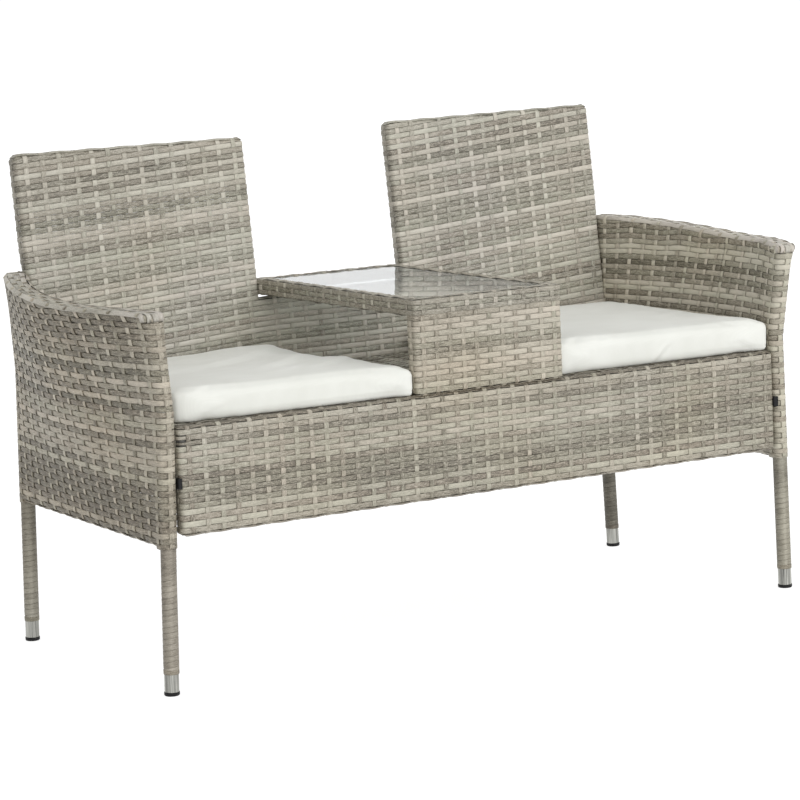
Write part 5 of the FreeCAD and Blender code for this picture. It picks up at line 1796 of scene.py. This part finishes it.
    # the foam stays flat where it lies on the seat
    floor_z = lo[2] + 0.0005
    co[:, 2] = np.maximum(co[:, 2], floor_z)
    u = np.clip((co[:, 0] - c[0]) / half[0], -1.05, 1.05)
    v = np.clip((co[:, 1] - c[1]) / half[1], -1.05, 1.05)
    w = smooth(co[:, 2], c[2] - 0.006, b[2] - 0.004)
    top = (w > 0.95) & (np.abs(u) < 0.86) & (np.abs(v) < 0.86)

    def basis(u, v):
        return np.stack([u ** i * v ** j for i in (0, 1, 2, 4) for j in (0, 1, 2, 4)], -1)
    k, *_ = np.linalg.lstsq(basis(u[top], v[top]), co[top, 2], rcond=None)
    uc, vc = np.clip(u, -0.86, 0.86), np.clip(v, -0.86, 0.86)
    now = basis(uc, vc) @ k
    want = lo[2] + lift(uc, vc) / 1000.0
    fold = np.zeros(n)
    px, py = (co[:, 0] - c[0]) * 1000, (co[:, 1] - c[1]) * 1000
    for fx, fy, ang, ln, wd, h in folds:
        dx, dy = math.cos(math.radians(ang)), math.sin(math.radians(ang))
        al = (px - fx) * dx + (py - fy) * dy
        ac = -(px - fx) * dy + (py - fy) * dx
        ac = ac + 6.0 * np.sin(al / ln * 1.7 + fx)
        env = np.exp(-(al / ln) ** 4)
        fold += h * env * (np.exp(-(ac / wd) ** 2) - 0.75 * np.exp(-((ac - 1.7 * wd) / wd) ** 2))
    co[:, 2] += w * (want - now + fold / 1000.0)
    # the front edge doesn't lie quite square on the seat
    t = np.clip((co[:, 1] - c[1]) / -half[1], 0, 1)
    front = (front_y[0] + (front_y[1] - front_y[0]) * (u + 1) / 2 + YS) / 1000.0
    co[:, 1] += (front - a[1]) * smooth(t, 0.0, 1.0) * (t > 0)
    # uneven swells of the cover, and a fold over the front edge
    g = np.random.default_rng(seed)
    q = g.normal(0, 1, (10, 4))
    sw = np.zeros(n)
    for i in range(10):
        sw += np.sin(co[:, 0] * (20 + 10 * q[i, 0]) + co[:, 1] * (18 + 10 * q[i, 1]) + q[i, 2] * 3 + 24 * co[:, 2] * q[i, 3])
    sw *= 0.0006 / 2.2
    nrm = unit(np.stack([np.sign(u) * np.abs(u) ** 8, np.sign(v) * np.abs(v) ** 8, (co[:, 2] - c[2]) / half[2] * 0.8], -1))
    co += nrm * (sw * smooth(co[:, 2], lo[2] + 0.006, lo[2] + 0.02))[:, None]
    if crease is not None:
        (x0, z0), (x1, z1), h, wd = crease
        dx, dz = x1 - x0, z1 - z0
        L2 = dx * dx + dz * dz
        X, Z = co[:, 0] * 1000, co[:, 2] * 1000
        s = ((X - x0) * dx + (Z - z0) * dz) / L2
        d = ((X - x0) * dz - (Z - z0) * dx) / math.sqrt(L2)
        e = np.exp(-((s - 0.5) / 0.55) ** 4) * (np.exp(-(d / wd) ** 2) - 0.8 * np.exp(-((d - 1.8 * wd) / (1.1 * wd)) ** 2))
        co[:, 1] -= h / 1000.0 * e * (v < -0.85)
    for ax in (0, 1):
        co[:, ax] = np.clip(co[:, ax], lo[ax] + 0.0004, hi[ax] + (over + 0.0004 if ax == 0 else -0.0004))
    co[:, 2] = np.maximum(co[:, 2], lo[2] + 0.0003)
    me.vertices.foreach_set("co", co.astype(np.float32).ravel())
    me.update()
    sm = ob.modifiers.new("fine", "SUBSURF")
    sm.levels = 1
    sm.render_levels = 1
    bpy.ops.object.modifier_apply(modifier=sm.name)
    # seams along the lower edge, as shallow sewn grooves
    me = ob.data
    n = len(me.vertices)
    co = np.empty(n * 3, np.float32)
    me.vertices.foreach_get("co", co)
    co = co.reshape(-1, 3).astype(float)
    dirx, diry = (co[:, 0] - c[0]) / half[0], (co[:, 1] - c[1]) / half[1]
    side = smooth(np.maximum(np.abs(dirx), np.abs(diry)), 0.93, 0.985)
    groove = np.exp(-((co[:, 2] - lo[2] - 0.009) / 0.0015) ** 2)
    stitch = 1 + 0.25 * np.sin((co[:, 0] + co[:, 1]) * 2 * math.pi / 0.008)
    nn = unit(np.stack([np.sign(dirx) * np.abs(dirx) ** 12, np.sign(diry) * np.abs(diry) ** 12, np.zeros(n)], -1))
    co -= nn * (0.0012 * groove * side * stitch)[:, None]
    me.vertices.foreach_set("co", co.astype(np.float32).ravel())
    me.polygons.foreach_set("use_smooth", np.ones(len(me.polygons), bool))
    me.update()
    me.materials.clear()
    me.materials.append(FABRIC)
    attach(ob, body)
    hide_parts(node)
    return ob


def seat_front_edge():
    """Strand along the seat deck's front edge, turned down behind the apron."""
    out = Strips("seat_front_edge_woven")
    cols = np.arange(-574.0, 575.0, 28.0)
    sg = np.array([(1.0 if i % 2 == 0 else -1.0) for i in range(len(cols))])
    S = stations(cols, -584.0, 584.0, mid=False)
    P = np.stack([S, np.full_like(S, -241.3), np.full_like(S, 427.0)], -1)
    N = np.tile([0.0, -0.6, 0.8], (len(S), 1))
    # painted shadow: the strand gets a near-black tone, for the cushions' shadow over it
    out.add(P + N * swing(S, cols, sg, amp=0.3)[:, None], N, 6.2, 0.05)
    out.build(WOVEN)


def spacer_pads():
    """Black rubber pads between the front panel's ends and the arms."""
    bm_co, bm_f = [], []
    for x0, x1, y0 in ((-590.4, -583.2, -271.0), (584.6, 594.6, -272.2)):
        y1, z0, z1, r = -252.0, 331.2, 348.6, 1.0
        sec = []
        for cy, cz, t0 in ((y1 - r, z1 - r, 0), (y0 + r, z1 - r, 90), (y0 + r, z0 + r, 180), (y1 - r, z0 + r, 270)):
            for t in (0, 30, 60, 90):
                th = math.radians(t0 + t)
                sec.append((cy + r * math.cos(th), cz + r * math.sin(th)))
        cy, cz = 0.5 * (y0 + y1), 0.5 * (z0 + z1)
        base = len(bm_co)
        rings = [(x0, 0.86), (x0 + 0.9, 1.0), (x1 - 0.9, 1.0), (x1, 0.86)]
        for x, k in rings:
            for y, z in sec:
                bm_co.append((x, cy + (y - cy) * k, cz + (z - cz) * k))
        m = len(sec)
        for i in range(len(rings) - 1):
            for j in range(m):
                k = (j + 1) % m
                bm_f.append((base + i * m + j, base + i * m + k, base + (i + 1) * m + k, base + (i + 1) * m + j))
        bm_f.append(tuple(base + j for j in range(m - 1, -1, -1)))
        bm_f.append(tuple(base + 3 * m + j for j in range(m)))
    me = bpy.data.meshes.new("front_spacer_pads")
    me.from_pydata([tuple(p) for p in mm(np.array(bm_co))], [], bm_f)
    me.update()
    ob = bpy.data.objects.new("front_spacer_pads", me)
    bpy.context.scene.collection.objects.link(ob)
    me.materials.append(BLACK)
    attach(ob, "root")


# ------------------------------------------------------------------ build all
apron()
backs()
table_panel()
table_rim()
deck()
build_arm(1, "right_arm_woven")
build_arm(-1, "left_arm_woven")
cushion("left_seat_cushion_cover", "left_cushion", "left_seat_cushion", 3, lift_left, FOLDS_L, (-251.0, -267.4),
        {(-1, -1): 40.0, (-1, 1): 16.0, (1, -1): 5.0, (1, 1): 14.0})
cushion("right_seat_cushion_cover", "right_cushion", "right_seat_cushion", 8, lift_right, FOLDS_R, (-250.0, -263.5),
        {(-1, -1): 14.0, (-1, 1): 16.0, (1, -1): 11.0, (1, 1): 16.0}, over=0.0016,
        crease=((342.0, 434.0), (376.0, 464.0), 2.6, 4.2))
spacer_pads()
seat_front_edge()

# ------------------------------------------------------------------ stage
def stage_floor():
    me = bpy.data.meshes.new("floor")
    s = 30.0
    me.from_pydata([(-s, -s, 0), (s, -s, 0), (s, s, 0), (-s, s, 0)], [], [(0, 1, 2, 3)])
    ob = bpy.data.objects.new("floor", me)
    bpy.context.scene.collection.objects.link(ob)
    m, nt, bsdf = new_mat("floor")
    bsdf.inputs["Base Color"].default_value = (0.5, 0.5, 0.5, 1)
    bsdf.inputs["Roughness"].default_value = 0.9
    bsdf.inputs["Specular IOR Level"].default_value = 0.1
    bsdf.inputs["Emission Color"].default_value = (1.0, 1.0, 1.0, 1)
    bsdf.inputs["Emission Strength"].default_value = 0.78
    me.materials.append(m)
    ob.visible_diffuse = False


stage_floor()

world = bpy.data.worlds.new("studio")
bpy.context.scene.world = world
world.use_nodes = True
wn = world.node_tree
wn.nodes.clear()
wo = wn.nodes.new("ShaderNodeOutputWorld")
bg = wn.nodes.new("ShaderNodeBackground")
bg.inputs["Color"].default_value = (1, 1, 1, 1)
lp = wn.nodes.new("ShaderNodeLightPath")
mul = wn.nodes.new("ShaderNodeMath")
mul.operation = "MULTIPLY_ADD"
mul.inputs[1].default_value = 0.41
wn.links.new(lp.outputs["Is Camera Ray"], mul.inputs[0])
mul2 = wn.nodes.new("ShaderNodeMath")
mul2.operation = "MULTIPLY_ADD"
mul2.inputs[1].default_value = 0.42
mul2.inputs[2].default_value = 0.64
wn.links.new(lp.outputs["Is Glossy Ray"], mul2.inputs[0])
wn.links.new(mul2.outputs[0], mul.inputs[2])
wn.links.new(mul.outputs[0], bg.inputs["Strength"])
wn.links.new(bg.outputs[0], wo.inputs["Surface"])


def sun(name, direction, strength, angle, color=(1, 1, 1)):
    li = bpy.data.lights.new(name, "SUN")
    li.energy = strength
    li.angle = math.radians(angle)
    li.color = color
    ob = bpy.data.objects.new(name, li)
    ob.rotation_mode = "QUATERNION"
    ob.rotation_quaternion = (-Vector(direction)).to_track_quat("-Z", "Y")
    bpy.context.scene.collection.objects.link(ob)
    return ob


# directions point from the object to the light
sun("key_front", (0.25, -1.0, 0.36), 1.38, 45)
sun("top", (0.1, 0.1, 1.0), 0.05, 60)
sun("left", (-1.0, -0.45, 0.2), 0.33, 60)

# ------------------------------------------------------------------ camera
cam = bpy.data.cameras.new("camera")
cam.sensor_width = 36.0
cam.lens = 3145.49 / 800.0 * 36.0
cam.clip_start, cam.clip_end = 0.1, 200.0
co = bpy.data.objects.new("camera", cam)
bpy.context.scene.collection.objects.link(co)
ix = Vector((0.85731122, -0.51283596, -0.0449082))
iy = Vector((-0.11073484, -0.09851498, -0.9889553))
bk = Vector((-0.50274771, -0.85281538, 0.14124681))
C = mm(np.array([-2767.505, -4661.924, 1155.787]))
M = Matrix.Identity(4)
for r in range(3):
    M[r][0], M[r][1], M[r][2], M[r][3] = ix[r], -iy[r], bk[r], C[r]
co.matrix_world = M
bpy.context.scene.camera = co
bpy.context.scene.view_settings.view_transform = "Standard"
